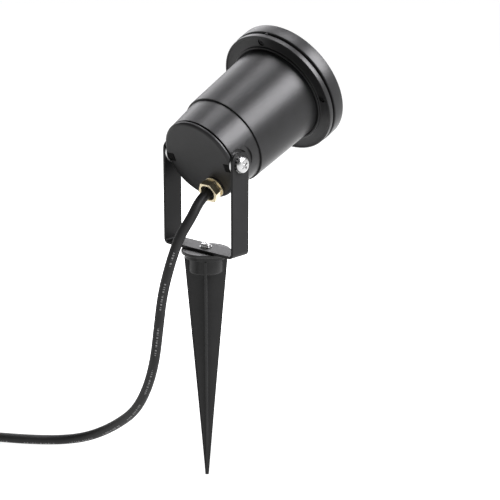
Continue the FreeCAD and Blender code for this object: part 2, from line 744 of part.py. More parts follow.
def make_flange_seal():
    body = turned("flange_seal", [
        (f"{BARREL_FRONT_RADIUS} - barrel_wall + 1", FLANGE_FRONT), (f"{FLANGE_RADIUS} - seal_recess", FLANGE_FRONT),
        (f"{FLANGE_RADIUS} - seal_recess", BEZEL_BACK), (f"{BARREL_FRONT_RADIUS} - barrel_wall + 1", BEZEL_BACK)])
    bezel_holes(body, FLANGE_FRONT, "seal_thick", "bezel_screw_radius + head_recess_fit")
    return on_head(body)


def make_bezel_ring():
    body = turned("bezel_ring", [
        (GLASS_POCKET, BEZEL_BACK), ("bezel_radius", BEZEL_BACK), ("bezel_radius", FRONT),
        (f"{WINDOW_RADIUS} + 1.5", FRONT), (WINDOW_RADIUS, f"{FRONT} - 1.5"), (WINDOW_RADIUS, BEZEL_LIP_BACK),
        (GLASS_POCKET, BEZEL_LIP_BACK)])
    rounded(body, "bezel_edge_round", ring_edge("bezel_radius", FRONT))
    depth = f"({HEAD_RECESS} + bezel_screw_length + 0.3 - {BEZEL_BACK})"
    bezel_holes(body, BEZEL_BACK, depth, "bezel_screw_radius + thread_fit")
    return on_head(body)


def make_bezel_screws():
    body = new_body("bezel_screws")
    at = (polar_x(SCREW_CIRCLE, "bezel_screw_turn"), polar_y(SCREW_CIRCLE, "bezel_screw_turn"))
    shank = cylinder(body, "shank", (*at, HEAD_RECESS), "bezel_screw_radius", "bezel_screw_length")
    head = cylinder(body, "head", (*at, f"{HEAD_RECESS} - bezel_screw_head_height"), "bezel_screw_head_radius",
                    "bezel_screw_head_height")
    hexagon = prism(body, "key", (*at, f"{HEAD_RECESS} - 1.5 * bezel_screw_head_height"),
                    "bezel_screw_head_radius * 0.5", "bezel_screw_head_height", cut=True)
    patterned(body, [shank, head, hexagon], 4)
    return on_head(body)


def make_glass_seal():
    """Rubber channel round the edge of the glass."""
    return on_head(turned("glass_seal", [
        (WINDOW_RADIUS, BEZEL_BACK), (GLASS_POCKET, BEZEL_BACK), (GLASS_POCKET, BEZEL_LIP_BACK),
        (WINDOW_RADIUS, BEZEL_LIP_BACK), (WINDOW_RADIUS, GLASS_FRONT), (GLASS_RADIUS, GLASS_FRONT),
        (GLASS_RADIUS, GLASS_BACK), (WINDOW_RADIUS, GLASS_BACK)]))


def make_front_glass():
    return on_head(turned("front_glass", [
        ("0", GLASS_BACK), (GLASS_RADIUS, GLASS_BACK), (GLASS_RADIUS, GLASS_FRONT), ("0", GLASS_FRONT)]))


# ---------------------------------------------------------------- cable gland

def at_gland(body):
    """Gland pieces are turned about Z and shifted to the gland's place on the cover."""
    body.Placement = Placement(Vector(0, 0, 0), Rotation(Vector(1, 0, 0), 66))
    bind(body, Placement__Rotation__Angle="90 - tilt_at_rest", Placement__Base__x="gland_x")
    across = "(gland_y + head_axis_rise)"
    bind(body, Placement__Base__y=f"{across} * sin(tilt_at_rest * 1 deg)")
    bind(body, Placement__Base__z=f"{PIVOT_HEIGHT} + {across} * cos(tilt_at_rest * 1 deg)")
    return body


def make_gland_body():
    bore = f"({CORD_RADIUS} + gland_bore_fit)"
    male = f"({GLAND_NUT} - gland_male_length)"
    body = turned("gland_body", [
        (bore, male), ("gland_thread_radius", male), ("gland_thread_radius", GLAND_NUT),
        ("gland_neck_radius", GLAND_NUT), ("gland_neck_radius", GLAND_HEX), ("gland_flange_radius", GLAND_HEX),
        ("gland_flange_radius", GLAND_FLANGE), ("gland_thread_radius", GLAND_FLANGE),
        ("gland_thread_radius", f"{BACK} + gland_inside"), (bore, f"{BACK} + gland_inside")])
    prism(body, "hex", ("0", "0", GLAND_NECK), f"gland_hex_flats / 2 * {HEX:.6f}", "gland_hex_length")
    cylinder(body, "bore", ("0", "0", f"{male} - 1"), bore, "40", cut=True)
    return at_gland(body)


def make_gland_ring():
    return at_gland(turned("gland_ring", [
        ("gland_thread_radius + thread_fit", GLAND_FLANGE), ("gland_ring_radius", GLAND_FLANGE),
        ("gland_ring_radius", BACK), ("gland_thread_radius + thread_fit", BACK)]))


def make_gland_nut():
    body = new_body("gland_nut")
    prism(body, "hex", ("0", "0", GLAND_FACE), f"gland_nut_flats / 2 * {HEX:.6f}", "gland_nut_length")
    cylinder(body, "mouth", ("0", "0", f"{GLAND_FACE} - 1"), "gland_thread_radius + thread_fit",
             "gland_nut_length + 2", cut=True)
    return at_gland(body)


def make_gland_seal():
    back = f"({GLAND_FACE} + gland_mouth_depth)"
    front = f"({GLAND_NUT} - gland_male_length)"
    inner = f"({CORD_RADIUS} + gland_bore_fit / 2)"
    return at_gland(turned("gland_seal", [
        (inner, back), ("gland_thread_radius", back), ("gland_thread_radius", front), (inner, front)]))


def make_cord_entry():
    """The sheath where it passes through the gland, up to the stripped cores."""
    body = new_body("cord_entry")
    cylinder(body, "sheath", ("0", "0", GLAND_FACE), CORD_RADIUS, f"{ENTRY_END} - {GLAND_FACE}")
    return at_gland(body)


# ---------------------------------------------------------------- lamp, holder and wiring

def along_strap(distance):
    return (f"{distance} * cos(strap_turn * 1 deg)", f"{distance} * sin(strap_turn * 1 deg)")


def make_holder_strap():
    half = f"(sqrt({BORE} * {BORE} - strap_width * strap_width / 4) - strap_end_gap)"
    body = new_body("holder_strap")
    radial_box(body, "strip", f"(-{half})", f"2 * {half}", "strap_width", STRAP_BACK, "strap_thick", "strap_turn")
    for number, (distance, radius) in enumerate((
            ("strap_screw_circle", "strap_screw_radius + spigot_fit"),
            ("(-strap_screw_circle)", "strap_screw_radius + spigot_fit"),
            ("holder_screw_offset", "strap_screw_radius + spigot_fit"),
            ("(-holder_screw_offset)", "strap_screw_radius + spigot_fit"))):
        cylinder(body, "hole_%d" % number, (*along_strap(distance), f"{STRAP_BACK} - 1"), radius,
                 "strap_thick + 2", cut=True)
    return on_head(body)


def make_strap_screws():
    """Two screws that draw the cover onto the housing through the strap."""
    body = new_body("strap_screws")
    for number, distance in enumerate(("strap_screw_circle", "(-strap_screw_circle)")):
        at = along_strap(distance)
        cylinder(body, "head_%d" % number, (*at, "strap_over_pivot"), "strap_screw_head_radius",
                 "strap_screw_head_height")
        cylinder(body, "shank_%d" % number, (*at, "strap_over_pivot - strap_screw_length"),
                 "strap_screw_radius", "strap_screw_length + 0.5")
    return on_head(body)


def make_holder_screws():
    body = new_body("holder_screws")
    for number, distance in enumerate(("holder_screw_offset", "(-holder_screw_offset)")):
        at = along_strap(distance)
        cylinder(body, "head_%d" % number, (*at, f"{STRAP_BACK} - strap_screw_head_height"),
                 "strap_screw_head_radius * 0.9", "strap_screw_head_height")
        cylinder(body, "shank_%d" % number, (*at, f"{STRAP_BACK} - 0.5"), "strap_screw_radius",
                 "holder_screw_length + 0.5")
    return on_head(body)


def make_lamp_holder():
    """Ceramic twist-lock holder: a puck with two keyhole sockets."""
    body = new_body("lamp_holder")
    cylinder(body, "puck", ("0", "0", "strap_over_pivot"), "holder_radius", "holder_length")
    for number, distance in enumerate(("holder_screw_offset", "(-holder_screw_offset)")):
        cylinder(body, "screw_%d" % number, (*along_strap(distance), "strap_over_pivot - 1"),
                 "strap_screw_radius + thread_fit", f"holder_screw_length - strap_thick + 1.3", cut=True)
    for number, side in enumerate(("lamp_pin_spacing / 2", "(-lamp_pin_spacing / 2)")):
        cylinder(body, "socket_%d" % number, (side, "0", f"{LAMP_BACK} - lamp_pin_length - 0.5"),
                 "lamp_pin_head_radius + spigot_fit", "lamp_pin_length + 1", cut=True)
    return on_head(body)


def make_lamp_pins():
    body = new_body("lamp_pins")
    for number, side in enumerate(("lamp_pin_spacing / 2", "(-lamp_pin_spacing / 2)")):
        cylinder(body, "neck_%d" % number, (side, "0", f"{LAMP_BACK} - lamp_pin_length"), "lamp_pin_radius",
                 "lamp_pin_length")
        cylinder(body, "foot_%d" % number, (side, "0", f"{LAMP_BACK} - lamp_pin_length"),
                 "lamp_pin_head_radius", "2")
    return on_head(body)


def make_lamp_body():
    """Reflector lamp: a straight base and a flaring shell with a ledge for its lens."""
    neck = f"({LAMP_BACK} + lamp_neck_length)"
    ledge = f"({LAMP_FRONT} - lamp_lens_thick)"
    inner = "(lamp_radius - lamp_wall)"
    return on_head(turned("lamp_body", [
        ("0", LAMP_BACK), ("lamp_base_radius", LAMP_BACK), ("lamp_base_radius", neck),
        ("lamp_radius", f"{ledge} - 2"), ("lamp_radius", LAMP_FRONT), (inner, LAMP_FRONT), (inner, ledge),
        (f"{inner} - 0.8", ledge), (f"{inner} - 0.8", f"{ledge} - 2"), ("lamp_base_radius - lamp_wall", f"{neck} + 0.6"),
        ("0", f"{neck} + 0.6")]))


def make_lamp_capsule():
    neck = f"({LAMP_BACK} + lamp_neck_length + 0.6)"
    body = turned("lamp_capsule", [
        ("0", neck), ("lamp_base_radius * 0.4", neck), ("lamp_base_radius * 0.4", f"{neck} + 14"),
        ("lamp_base_radius * 0.2", f"{neck} + 18"), ("0", f"{neck} + 18")])
    return on_head(body)


def make_lamp_lens():
    ledge = f"({LAMP_FRONT} - lamp_lens_thick)"
    edge = "(lamp_radius - lamp_wall - thread_fit)"
    return on_head(turned("lamp_lens", [
        ("0", ledge), (edge, ledge), (edge, LAMP_FRONT), ("0", f"{LAMP_FRONT} + 0.6")]))


def terminal_x(number):
    return f"(block_x + block_width * {2 * number + 1} / 6)"


def make_terminal_block():
    body = new_body("terminal_block")
    box(body, "block", ("block_x", "block_y", COVER_IN), "block_width", "block_height", "block_depth")
    for number in range(3):
        cylinder(body, "well_%d" % number, (terminal_x(number), "block_y + block_height / 2",
                 f"{COVER_IN} + block_depth - 2"), "block_screw_radius + thread_fit", "4", cut=True)
    return on_head(body)


def make_terminal_screws():
    body = new_body("terminal_screws")
    for number in range(3):
        cylinder(body, "screw_%d" % number, (terminal_x(number), "block_y + block_height / 2",
                 f"{COVER_IN} + block_depth - 2"), "block_screw_radius", "2.6")
    return on_head(body)


def make_earth_tag():
    """Ring terminal on the earth lug, with its tongue towards the terminal block."""
    x = polar_x("earth_screw_circle", "earth_turn")
    y = polar_y("earth_screw_circle", "earth_turn")
    body = new_body("earth_tag")
    cylinder(body, "ring", (x, y, "earth_lug_height"), "strap_screw_head_radius", "0.8")
    wide = "(2 * core_radius + 1)"
    box(body, "tongue", (f"{x} - {wide} / 2", "earth_wire_y - core_radius - 0.4", "earth_lug_height"), wide,
        f"{y} - earth_wire_y", "0.8")
    cylinder(body, "hole", (x, y, "earth_lug_height - 1"), "strap_screw_radius + spigot_fit", "4", cut=True)
    return on_head(body)


def make_earth_screw():
    at = (polar_x("earth_screw_circle", "earth_turn"), polar_y("earth_screw_circle", "earth_turn"))
    body = new_body("earth_screw")
    cylinder(body, "shank", (*at, "earth_lug_height - earth_screw_length + 0.4"), "strap_screw_radius",
             "earth_screw_length + 0.6")
    cylinder(body, "head", (*at, "earth_lug_height + 0.8"), "strap_screw_head_radius",
             "strap_screw_head_height")
    return on_head(body)


# ---------------------------------------------------------------- round wires and the lead

def rounded_path(points, share=0.45, radius=None):
    """Straight runs joined by tangent arcs. Returns the wire, the arcs' radii and the length."""
    edges = []
    radii = []
    start = points[0]
    for before, corner, after in zip(points, points[1:], points[2:]):
        inward = (corner - before).normalize()
        outward = (after - corner).normalize()
        half = inward.getAngle(outward) / 2
        shorter = min((corner - before).Length, (after - corner).Length)
        cut = share * shorter
        if radius is not None:
            cut = min(cut, radius * math.tan(half))
        bend = cut / math.tan(half)
        first = corner - inward * cut
        last = corner + outward * cut
        to_middle = (outward - inward).normalize() * (bend / math.cos(half) - bend)
        edges.append(Part.LineSegment(start, first).toShape())
        edges.append(Part.Arc(first, corner + to_middle, last).toShape())
        radii.append(bend)
        start = last
    edges.append(Part.LineSegment(start, points[-1]).toShape())
    return Part.Wire(edges), radii, sum(edge.Length for edge in edges)


def tube(name, wire, radius):
    """A round solid along a wire, as one object with its own label."""
    start = wire.Edges[0]
    direction = start.tangentAt(start.FirstParameter)
    circle = Part.Circle(start.valueAt(start.FirstParameter), direction, radius)
    solid = wire.makePipeShell([Part.Wire([circle.toShape()])], True, False)
    item = doc.addObject("Part::Feature", name)
    item.Shape = solid
    item.Label = name
    return item


def wire_between(name, points):
    """A core of the lead inside the head, through points in the head's own frame."""
    path = [head_point(*point) for point in points]
    wire, _, _ = rounded_path(path)
    return tube(name, wire, now("core_radius"))


def make_wires():
    """Three cores from the sheath to the terminal block, two leads to the holder, one to earth."""
    x = now("gland_x")
    y = now("gland_y")
    spread = now(CORD_RADIUS) - now("core_radius") - 0.1
    low = now(ENTRY_END)
    face = now("block_y")
    enter = now(f"{COVER_IN} + block_depth / 2")
    starts = {"core_live": 172, "core_neutral": 52, "core_earth": -68}
    for number, (name, angle) in enumerate(starts.items()):
        sx = x + spread * math.cos(math.radians(angle))
        sy = y + spread * math.sin(math.radians(angle))
        tx = now(terminal_x(number))
        wire_between(name, [(sx, sy, low), (sx, sy, low + now("core_rise")), (tx, face - now("core_swing"), enter), (tx, face, enter)])
    back = now("block_y + block_height")
    side = now("holder_radius")
    swing = side + now("lead_swing")
    level = now("strap_over_pivot + lead_rise")
    for number, name in enumerate(("lead_live", "lead_neutral")):
        tx = now(terminal_x(number))
        inner = max(0.0, abs(tx) - now("core_radius"))
        seat = math.sqrt(side ** 2 - inner ** 2)
        wire_between(name, [(tx, back, enter), (tx, swing, enter), (tx, swing, level), (tx, seat, level)])
    tx = now(terminal_x(2))
    along = now("earth_wire_y")
    wire_between("lead_earth", [(tx, back, enter), (tx, along, enter), (tx, along, now("earth_lug_height"))])


def make_cord():
    """The free stretch of the lead, from the gland's mouth to the coil."""
    exit_point = head_point(now("gland_x"), now("gland_y"), now(GLAND_FACE))
    first = head_point(now("gland_x"), now("gland_y"), now(GLAND_FACE) - CORD_STRAIGHT)
    points = [exit_point, first] + [Vector(*point) for point in CORD_POINTS]
    wire, radii, length = rounded_path(points)
    item = tube("power_cord", wire, now(CORD_RADIUS))
    print("power_cord radii", " ".join("%.0f" % radius for radius in radii), "length %.1f" % length)
    report_tube(item, length)
    return length


def report_tube(item, length):
    section = math.pi * now(CORD_RADIUS) ** 2
    print(item.Label, "volume %.1f, section times length %.1f" % (item.Shape.Volume, section * length))


def coil_frame():
    """Where the coil starts, which way it heads, and the way to its middle."""
    end = Vector(*CORD_POINTS[-1])
    heading = end - Vector(*CORD_POINTS[-2])
    heading.z = 0
    heading.normalize()
    inward = Vector(heading.y, -heading.x, 0)
    return end, heading, inward


def coil_radii():
    pitch = now("cord_diameter + coil_gap")
    inward = [now("coil_start_radius") - pitch / 2 * turn for turn in range(HALF_TURNS_IN)]
    outward = [inward[-1] + pitch / 2 * turn for turn in range(1, HALF_TURNS_OUT + 1)]
    return inward + outward


def coil_arcs(start, heading, inward):
    """Half turns that spiral in, climb a layer where the spiral reverses, and spiral out above."""
    rise = now("cord_diameter + coil_gap")
    place = start + heading * now("cord_diameter")
    across = inward
    along = heading
    arcs = []
    for number, radius in enumerate(coil_radii()):
        climb = rise if number == HALF_TURNS_IN - 1 else 0.0
        middle = place + across * radius
        arcs.append((place, middle, radius, along, across, climb))
        place = place + across * (2 * radius) + Vector(0, 0, climb)
        across = across * -1
        along = along * -1
    return arcs, place, along


def coil_wire(start, heading, inward):
    """The coil's line, straight for one diameter at each end."""
    arcs, place, along = coil_arcs(start, heading, inward)
    edges = [Part.LineSegment(start, arcs[0][0]).toShape()]
    for arc in arcs:
        if arc[-1] == 0.0:
            place_, middle, radius, along_, across = arc[:5]
            far = place_ + across * (2 * radius)
            edges.append(Part.Arc(place_, middle + along_ * radius, far).toShape())
        else:
            edges.extend(climbing_edges(*arc))
    end = place + along * now("cord_diameter")
    edges.append(Part.LineSegment(place, end).toShape())
    return Part.Wire(edges), end, along


def climbing_edges(place, middle, radius, along, across, climb):
    """A half turn that climbs with a soft start and end, as two quarter turns."""
    stations = []
    for step in range(3):
        angle = math.pi * step / 2
        point = middle - across * (radius * math.cos(angle)) + along * (radius * math.sin(angle))
        point = point + Vector(0, 0, climb * (1 - math.cos(angle)) / 2)
        slope = climb * math.sin(angle) / (2 * radius)
        way = across * math.sin(angle) + along * math.cos(angle) + Vector(0, 0, slope)
        stations.append((point, way.normalize()))
    edges = []
    for (start, start_way), (end, end_way) in zip(stations, stations[1:]):
        edges.extend(two_arcs(start, start_way, end, end_way))
    return edges


def two_arcs(start, start_way, end, end_way):
    """Two arcs that leave one point and reach another, each with a given direction there."""
    span = end - start
    lean = span.dot(start_way + end_way)
    spread = 2 * (1 - start_way.dot(end_way))
    reach = (math.sqrt(lean * lean + spread * span.dot(span)) - lean) / spread
    first = start + start_way * reach
    second = end - end_way * reach
    join = (first + second) * 0.5
    return [corner_arc(start, first, join, reach), corner_arc(join, second, end, reach)]


def corner_arc(start, corner, end, reach):
    """The arc tangent to both sides of a corner that stands the same distance from its ends."""
    middle = (start + end) * 0.5
    share = (end - start).Length / 2 / reach
    return Part.Arc(start, middle + (corner - middle) * (share / (1 + share)), end).toShape()


def least_gap(wire):
    """The smallest clear distance between two passes of the coil."""
    points = wire.discretize(Distance=3.0)
    least = 1000.0
    for first in range(len(points)):
        for second in range(first + 12, len(points)):
            least = min(least, (points[first] - points[second]).Length)
    return least - now("cord_diameter")


def make_coil():
    start, heading, inward = coil_frame()
    wire, end, along = coil_wire(start, heading, inward)
    item = tube("cord_coil", wire, now(CORD_RADIUS))
    print("coil length %.1f, least gap %.2f, radii" % (wire.Length, least_gap(wire)),
          " ".join("%.2f" % radius for radius in coil_radii()))
    report_tube(item, wire.Length)
    return end, along, wire.Length


def make_tie():
    """A band round the coil's passes, on the side across from where it starts."""
    start, heading, inward = coil_frame()
    radii = coil_radii()
    far = 2 * radii[0]
    near = 2 * (radii[0] - radii[1] + radii[2] - radii[3] + radii[4])
    place = start + heading * now("cord_diameter") + inward * ((far + near) / 2)
    body = new_body("cord_tie")
    pitch = "(cord_diameter + coil_gap)"
    half = f"({pitch} + {CORD_RADIUS} + tie_slack)"
    high = f"({pitch} + cord_diameter + 2 * tie_height_slack)"
    low = f"(-{CORD_RADIUS} - tie_height_slack)"
    box(body, "band", ("-tie_width / 2", f"-{half} - tie_thick", f"{low} - tie_thick"), "tie_width",
        f"2 * ({half} + tie_thick)", f"{high} + 2 * tie_thick")
    box(body, "opening", ("-tie_width", f"-{half}", low), "2 * tie_width", f"2 * {half}", high, cut=True)
    body.Placement = Placement(place, Rotation(heading, inward * -1, Vector(0, 0, 1), "ZXY"))
    return body


def make_tail(end, along):
    right = Vector(along.y, -along.x, 0)
    points = [end]
    for ahead, across, up in TAIL_STEPS:
        points.append(end + along * ahead + right * across + Vector(0, 0, up))
    wire, radii, length = rounded_path(points)
    item = tube("cord_tail", wire, now(CORD_RADIUS))
    print("cord_tail radii", " ".join("%.0f" % radius for radius in radii), "length %.1f" % length)
    report_tube(item, length)
    way = (points[-1] - points[-2]).normalize()
    return points[-1] - way * now("plug_cord_depth"), way, length


def on_plug(body, place, way):
    """Stand a piece made along Z at the plug, with its pins side by side and level."""
    side = Vector(0, 0, 1).cross(way).normalize()
    body.Placement = Placement(place, Rotation(side, way.cross(side), way, "ZXY"))
    return body


def make_plug(place, way):
    relief = "plug_relief_length"
    grip = f"({relief} + plug_grip_length)"
    face = f"({grip} + plug_face_length)"
    neck = f"({CORD_RADIUS} + plug_relief_wall)"
    body = turned("plug_body", [
        (f"{CORD_RADIUS} + thread_fit", "0"), (neck, "0"), (f"{neck} + 1.6", relief),
        ("plug_grip_radius - 2", relief), ("plug_grip_radius", f"{relief} + 3"), ("plug_grip_radius", grip),
        ("plug_face_radius", f"{grip} + 5"), ("plug_face_radius", face), ("0", face), ("0", "plug_cord_depth"),
        (f"{CORD_RADIUS} + thread_fit", "plug_cord_depth")])
    for number, side in enumerate(("plug_pin_spacing / 2", "(-plug_pin_spacing / 2)")):
        cylinder(body, "pin_hole_%d" % number, (side, "0", f"{face} - plug_pin_seat"),
                 "plug_root_radius + thread_fit", "plug_pin_seat + 1", cut=True)
    wide = "(earth_clip_width + 2 * thread_fit)"
    level = "(plug_face_radius - earth_clip_thick - thread_fit)"
    for number, base in enumerate((level, "(-plug_face_radius - 1)")):
        box(body, "clip_slot_%d" % number, (f"-{wide} / 2", base, f"{face} - earth_clip_length"), wide,
            "earth_clip_thick + thread_fit + 1", "earth_clip_length + 1", cut=True)
    on_plug(body, place, way)
    pins = new_body("plug_pins")
    for number, side in enumerate(("plug_pin_spacing / 2", "(-plug_pin_spacing / 2)")):
        cylinder(pins, "root_%d" % number, (side, "0", f"{face} - plug_pin_seat"), "plug_root_radius",
                 "plug_pin_seat")
        cylinder(pins, "pin_%d" % number, (side, "0", f"{face} - 1"), "plug_pin_radius",
                 "1 + plug_pin_length - plug_pin_radius")
        feature(pins, "AdditiveSphere", "tip_%d" % number, (side, "0", f"{face} + plug_pin_length - plug_pin_radius"),
                Radius="plug_pin_radius")
    on_plug(pins, place, way)
    clips = new_body("plug_earth_clips")
    for number, base in enumerate(("plug_face_radius - earth_clip_thick", "-plug_face_radius")):
        box(clips, "clip_%d" % number, ("-earth_clip_width / 2", base, f"{face} - earth_clip_length"),
            "earth_clip_width", "earth_clip_thick", "earth_clip_length")
    on_plug(clips, place, way)


# ---------------------------------------------------------------- build, check and write out

make_ground_spike()
make_spike_cap()
make_pan_nut()
make_pan_screw()
make_pan_washer()
make_bracket()
make_flat_washers()
make_tooth_washers()
make_rear_housing()
make_rear_cover()
make_cover_seal()
make_pivot_bushes()
make_pivot_screws()
make_front_barrel()
make_barrel_ring()
make_flange_seal()
make_bezel_ring()
make_bezel_screws()
make_glass_seal()
make_front_glass()
make_gland_body()
make_gland_ring()
make_gland_nut()
make_gland_seal()
make_cord_entry()
make_holder_strap()
make_strap_screws()
make_holder_screws()
make_lamp_holder()
make_lamp_pins()
make_lamp_body()
make_lamp_capsule()
make_lamp_lens()
make_terminal_block()
make_terminal_screws()
make_earth_tag()
make_earth_screw()
make_wires()
free_length = make_cord()
coil_end, coil_along, coil_length = make_coil()
make_tie()
plug_place, plug_way, tail_length = make_tail(coil_end, coil_along)
make_plug(plug_place, plug_way)
print("lead in all %.0f" % (free_length + coil_length + tail_length))
doc.recompute()

PIECES = [item for item in doc.Objects
          if item.TypeId == "PartDesign::Body" or item.TypeId == "Part::Feature"]
for item in doc.Objects:
    if "Invalid" in item.State or "Error" in item.State:
        raise SystemExit("%s is in state %s" % (item.Label, item.State))
os.makedirs("parts", exist_ok=True)
for item in PIECES:
    if item.Shape.isNull() or not item.Shape.isValid() or not item.Shape.Solids:
        raise SystemExit("%s has no valid solid" % item.Label)
    item.Shape.exportStep("parts/%s.step" % item.Label)
    bounds = item.Shape.BoundBox
    print("%-18s solids %d  volume %9.1f  x %7.1f %7.1f  y %7.1f %7.1f  z %7.1f %7.1f" % (
        item.Label, len(item.Shape.Solids), item.Shape.Volume, bounds.XMin, bounds.XMax, bounds.YMin,
        bounds.YMax, bounds.ZMin, bounds.ZMax))
print(len(PIECES), "pieces")
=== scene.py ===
"""Garden spike spotlight: a tilting lamp head in a U bracket on a ground spike, with its lead."""
import math

import bmesh
import bpy
from mathutils import Matrix, Vector


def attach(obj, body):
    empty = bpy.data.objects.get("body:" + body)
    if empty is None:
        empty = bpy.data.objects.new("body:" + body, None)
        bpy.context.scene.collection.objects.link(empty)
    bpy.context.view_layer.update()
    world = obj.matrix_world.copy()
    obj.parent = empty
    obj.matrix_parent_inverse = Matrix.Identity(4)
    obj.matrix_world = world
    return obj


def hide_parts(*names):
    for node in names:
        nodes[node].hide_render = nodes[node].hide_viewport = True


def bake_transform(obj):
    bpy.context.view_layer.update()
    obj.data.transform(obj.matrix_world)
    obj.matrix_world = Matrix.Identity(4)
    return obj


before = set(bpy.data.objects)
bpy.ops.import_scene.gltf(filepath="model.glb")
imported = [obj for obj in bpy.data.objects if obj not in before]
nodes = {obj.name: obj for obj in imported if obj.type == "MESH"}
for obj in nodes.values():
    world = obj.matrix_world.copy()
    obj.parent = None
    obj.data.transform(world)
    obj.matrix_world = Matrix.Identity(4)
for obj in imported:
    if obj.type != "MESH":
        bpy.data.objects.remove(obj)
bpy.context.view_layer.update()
MM = 0.001

# The head's own frame: local X along the tilt axis, local Z along the barrel towards the glass.
PIVOT = Vector((0, 0, 0.0756))
TILT = math.radians(23.5)
HEAD_UP = Vector((0, math.sin(TILT), math.cos(TILT)))
HEAD_ALONG = Vector((0, -math.cos(TILT), math.sin(TILT)))
HEAD_ORIGIN = PIVOT + HEAD_UP * 0.001
HEAD = Matrix((
    (1, HEAD_UP.x, HEAD_ALONG.x, HEAD_ORIGIN.x),
    (0, HEAD_UP.y, HEAD_ALONG.y, HEAD_ORIGIN.y),
    (0, HEAD_UP.z, HEAD_ALONG.z, HEAD_ORIGIN.z),
    (0, 0, 0, 1)))
GLAND = HEAD @ Matrix.Translation((-0.0085, -0.0205, 0))


# ---------------------------------------------------------------- finishes

TICKS_START = 0.05    # metres along the lead
TICKS_TURN = 0.72     # of a turn round it


class Finish:
    """A node material with short calls for the nodes that these finishes share."""

    def __init__(self, name):
        self.material = bpy.data.materials.new(name)
        self.material.use_nodes = True
        self.tree = self.material.node_tree
        self.shader = self.tree.nodes["Principled BSDF"]
        self.place = self.node("ShaderNodeTexCoord").outputs["Object"]

    def node(self, kind, **inputs):
        made = self.tree.nodes.new(kind)
        for name, value in inputs.items():
            made.inputs[name.replace("_", " ")].default_value = value
        return made

    def link(self, out, into):
        self.tree.links.new(out, into)

    def noise(self, scale, detail=3.0, roughness=0.5):
        made = self.node("ShaderNodeTexNoise", Scale=scale, Detail=detail, Roughness=roughness)
        self.link(self.place, made.inputs["Vector"])
        return made.outputs["Fac"]

    def maths(self, operation, source, *values):
        made = self.node("ShaderNodeMath")
        made.operation = operation
        self.link(source, made.inputs[0])
        for slot, value in enumerate(values, 1):
            if isinstance(value, bpy.types.NodeSocket):
                self.link(value, made.inputs[slot])
            else:
                made.inputs[slot].default_value = value
        return made.outputs[0]

    def ramp(self, value, stops):
        made = self.node("ShaderNodeValToRGB")
        while len(made.color_ramp.elements) < len(stops):
            made.color_ramp.elements.new(0.5)
        for element, (place, colour) in zip(made.color_ramp.elements, stops):
            element.position = place
            element.color = (*colour[:3], 1)
        self.link(value, made.inputs["Fac"])
        return made.outputs["Color"]

    def span(self, value, low, high, start=0.0, end=1.0):
        """Low where the value is at the start, high where it is at the end."""
        made = self.node("ShaderNodeMapRange", From_Min=start, From_Max=end, To_Min=low, To_Max=high)
        self.link(value, made.inputs["Value"])
        return made.outputs["Result"]

    def colour(self, source):
        self.link(source, self.shader.inputs["Base Color"])

    def gloss(self, scale, detail, low, high):
        """A roughness that wanders between two values."""
        self.link(self.span(self.noise(scale, detail), low, high), self.shader.inputs["Roughness"])

    def bump(self, height, strength, distance):
        made = self.node("ShaderNodeBump", Strength=strength, Distance=distance)
        self.link(height, made.inputs["Height"])
        self.link(made.outputs["Normal"], self.shader.inputs["Normal"])

    def set(self, **values):
        for name, value in values.items():
            self.shader.inputs[name.replace("_", " ")].default_value = value


def grey(level, blue=0.0):
    return (level, level, level + blue, 1)


def powder_coat(name, level, gloss, shine):
    """Fine satin powder coat: a slight orange peel and a trace of mottling."""
    finish = Finish(name)
    finish.colour(finish.ramp(finish.noise(90, 2), [
        (0.3, grey(level * 0.9)), (0.7, grey(level * 1.12, level * 0.05))]))
    finish.gloss(700, 2, gloss - 0.04, gloss + 0.05)
    finish.bump(finish.noise(1500, 2, 0.6), 0.5, 0.00006)
    finish.set(Specular_IOR_Level=shine)
    return finish.material


def moulded_plastic(name, level, gloss, shine=0.34):
    """Matte moulded plastic, a little uneven in tone and gloss."""
    finish = Finish(name)
    finish.colour(finish.ramp(finish.noise(60), [(0.3, grey(level * 0.85)), (0.75, grey(level * 1.15))]))
    finish.gloss(400, 3, gloss - 0.05, gloss + 0.07)
    finish.bump(finish.noise(900), 0.25, 0.00005)
    finish.set(Specular_IOR_Level=shine)
    return finish.material


def printed_ticks(finish, tone):
    """Faint printed ticks in a line along the lead: U is metres along, V turns round it."""
    parts = finish.node("ShaderNodeSeparateXYZ")
    finish.link(finish.node("ShaderNodeUVMap").outputs["UV"], parts.inputs[0])
    along, around = parts.outputs["X"], parts.outputs["Y"]

    def wave(source, step, share):
        """One where the source lies in the first share of each step."""
        return finish.maths("LESS_THAN", finish.maths("WRAP", source, step, 0.0), step * share)

    def both(first, second):
        return finish.maths("MULTIPLY", first, second)

    past_gland = finish.maths("GREATER_THAN", along, TICKS_START)
    fine = both(wave(along, 0.0021, 0.55), wave(along, 0.0034, 0.72))
    groups = both(both(fine, wave(along, 0.037, 0.66)), past_gland)
    line = wave(finish.maths("ADD", around, 1.0 - TICKS_TURN), 1.0, 0.055)
    worn = both(both(groups, line), finish.span(finish.noise(260, 2), 0.25, 0.8))
    mix = finish.node("ShaderNodeMix")
    mix.data_type = "RGBA"
    finish.link(worn, mix.inputs[0])
    finish.link(tone, mix.inputs[6])
    mix.inputs[7].default_value = grey(0.42)
    return mix.outputs[2]


def soft_rubber(name, level, gloss=0.6, marked=False):
    """Matte rubber, with printed ticks if it is marked."""
    finish = Finish(name)
    tone = finish.ramp(finish.noise(150), [(0.3, grey(level * 0.8)), (0.75, grey(level * 1.2))])
    finish.colour(printed_ticks(finish, tone) if marked else tone)
    finish.gloss(800, 2, gloss - 0.05, gloss + 0.08)
    finish.bump(finish.noise(1600, 2), 0.3, 0.00004)
    finish.set(Specular_IOR_Level=0.32)
    return finish.material


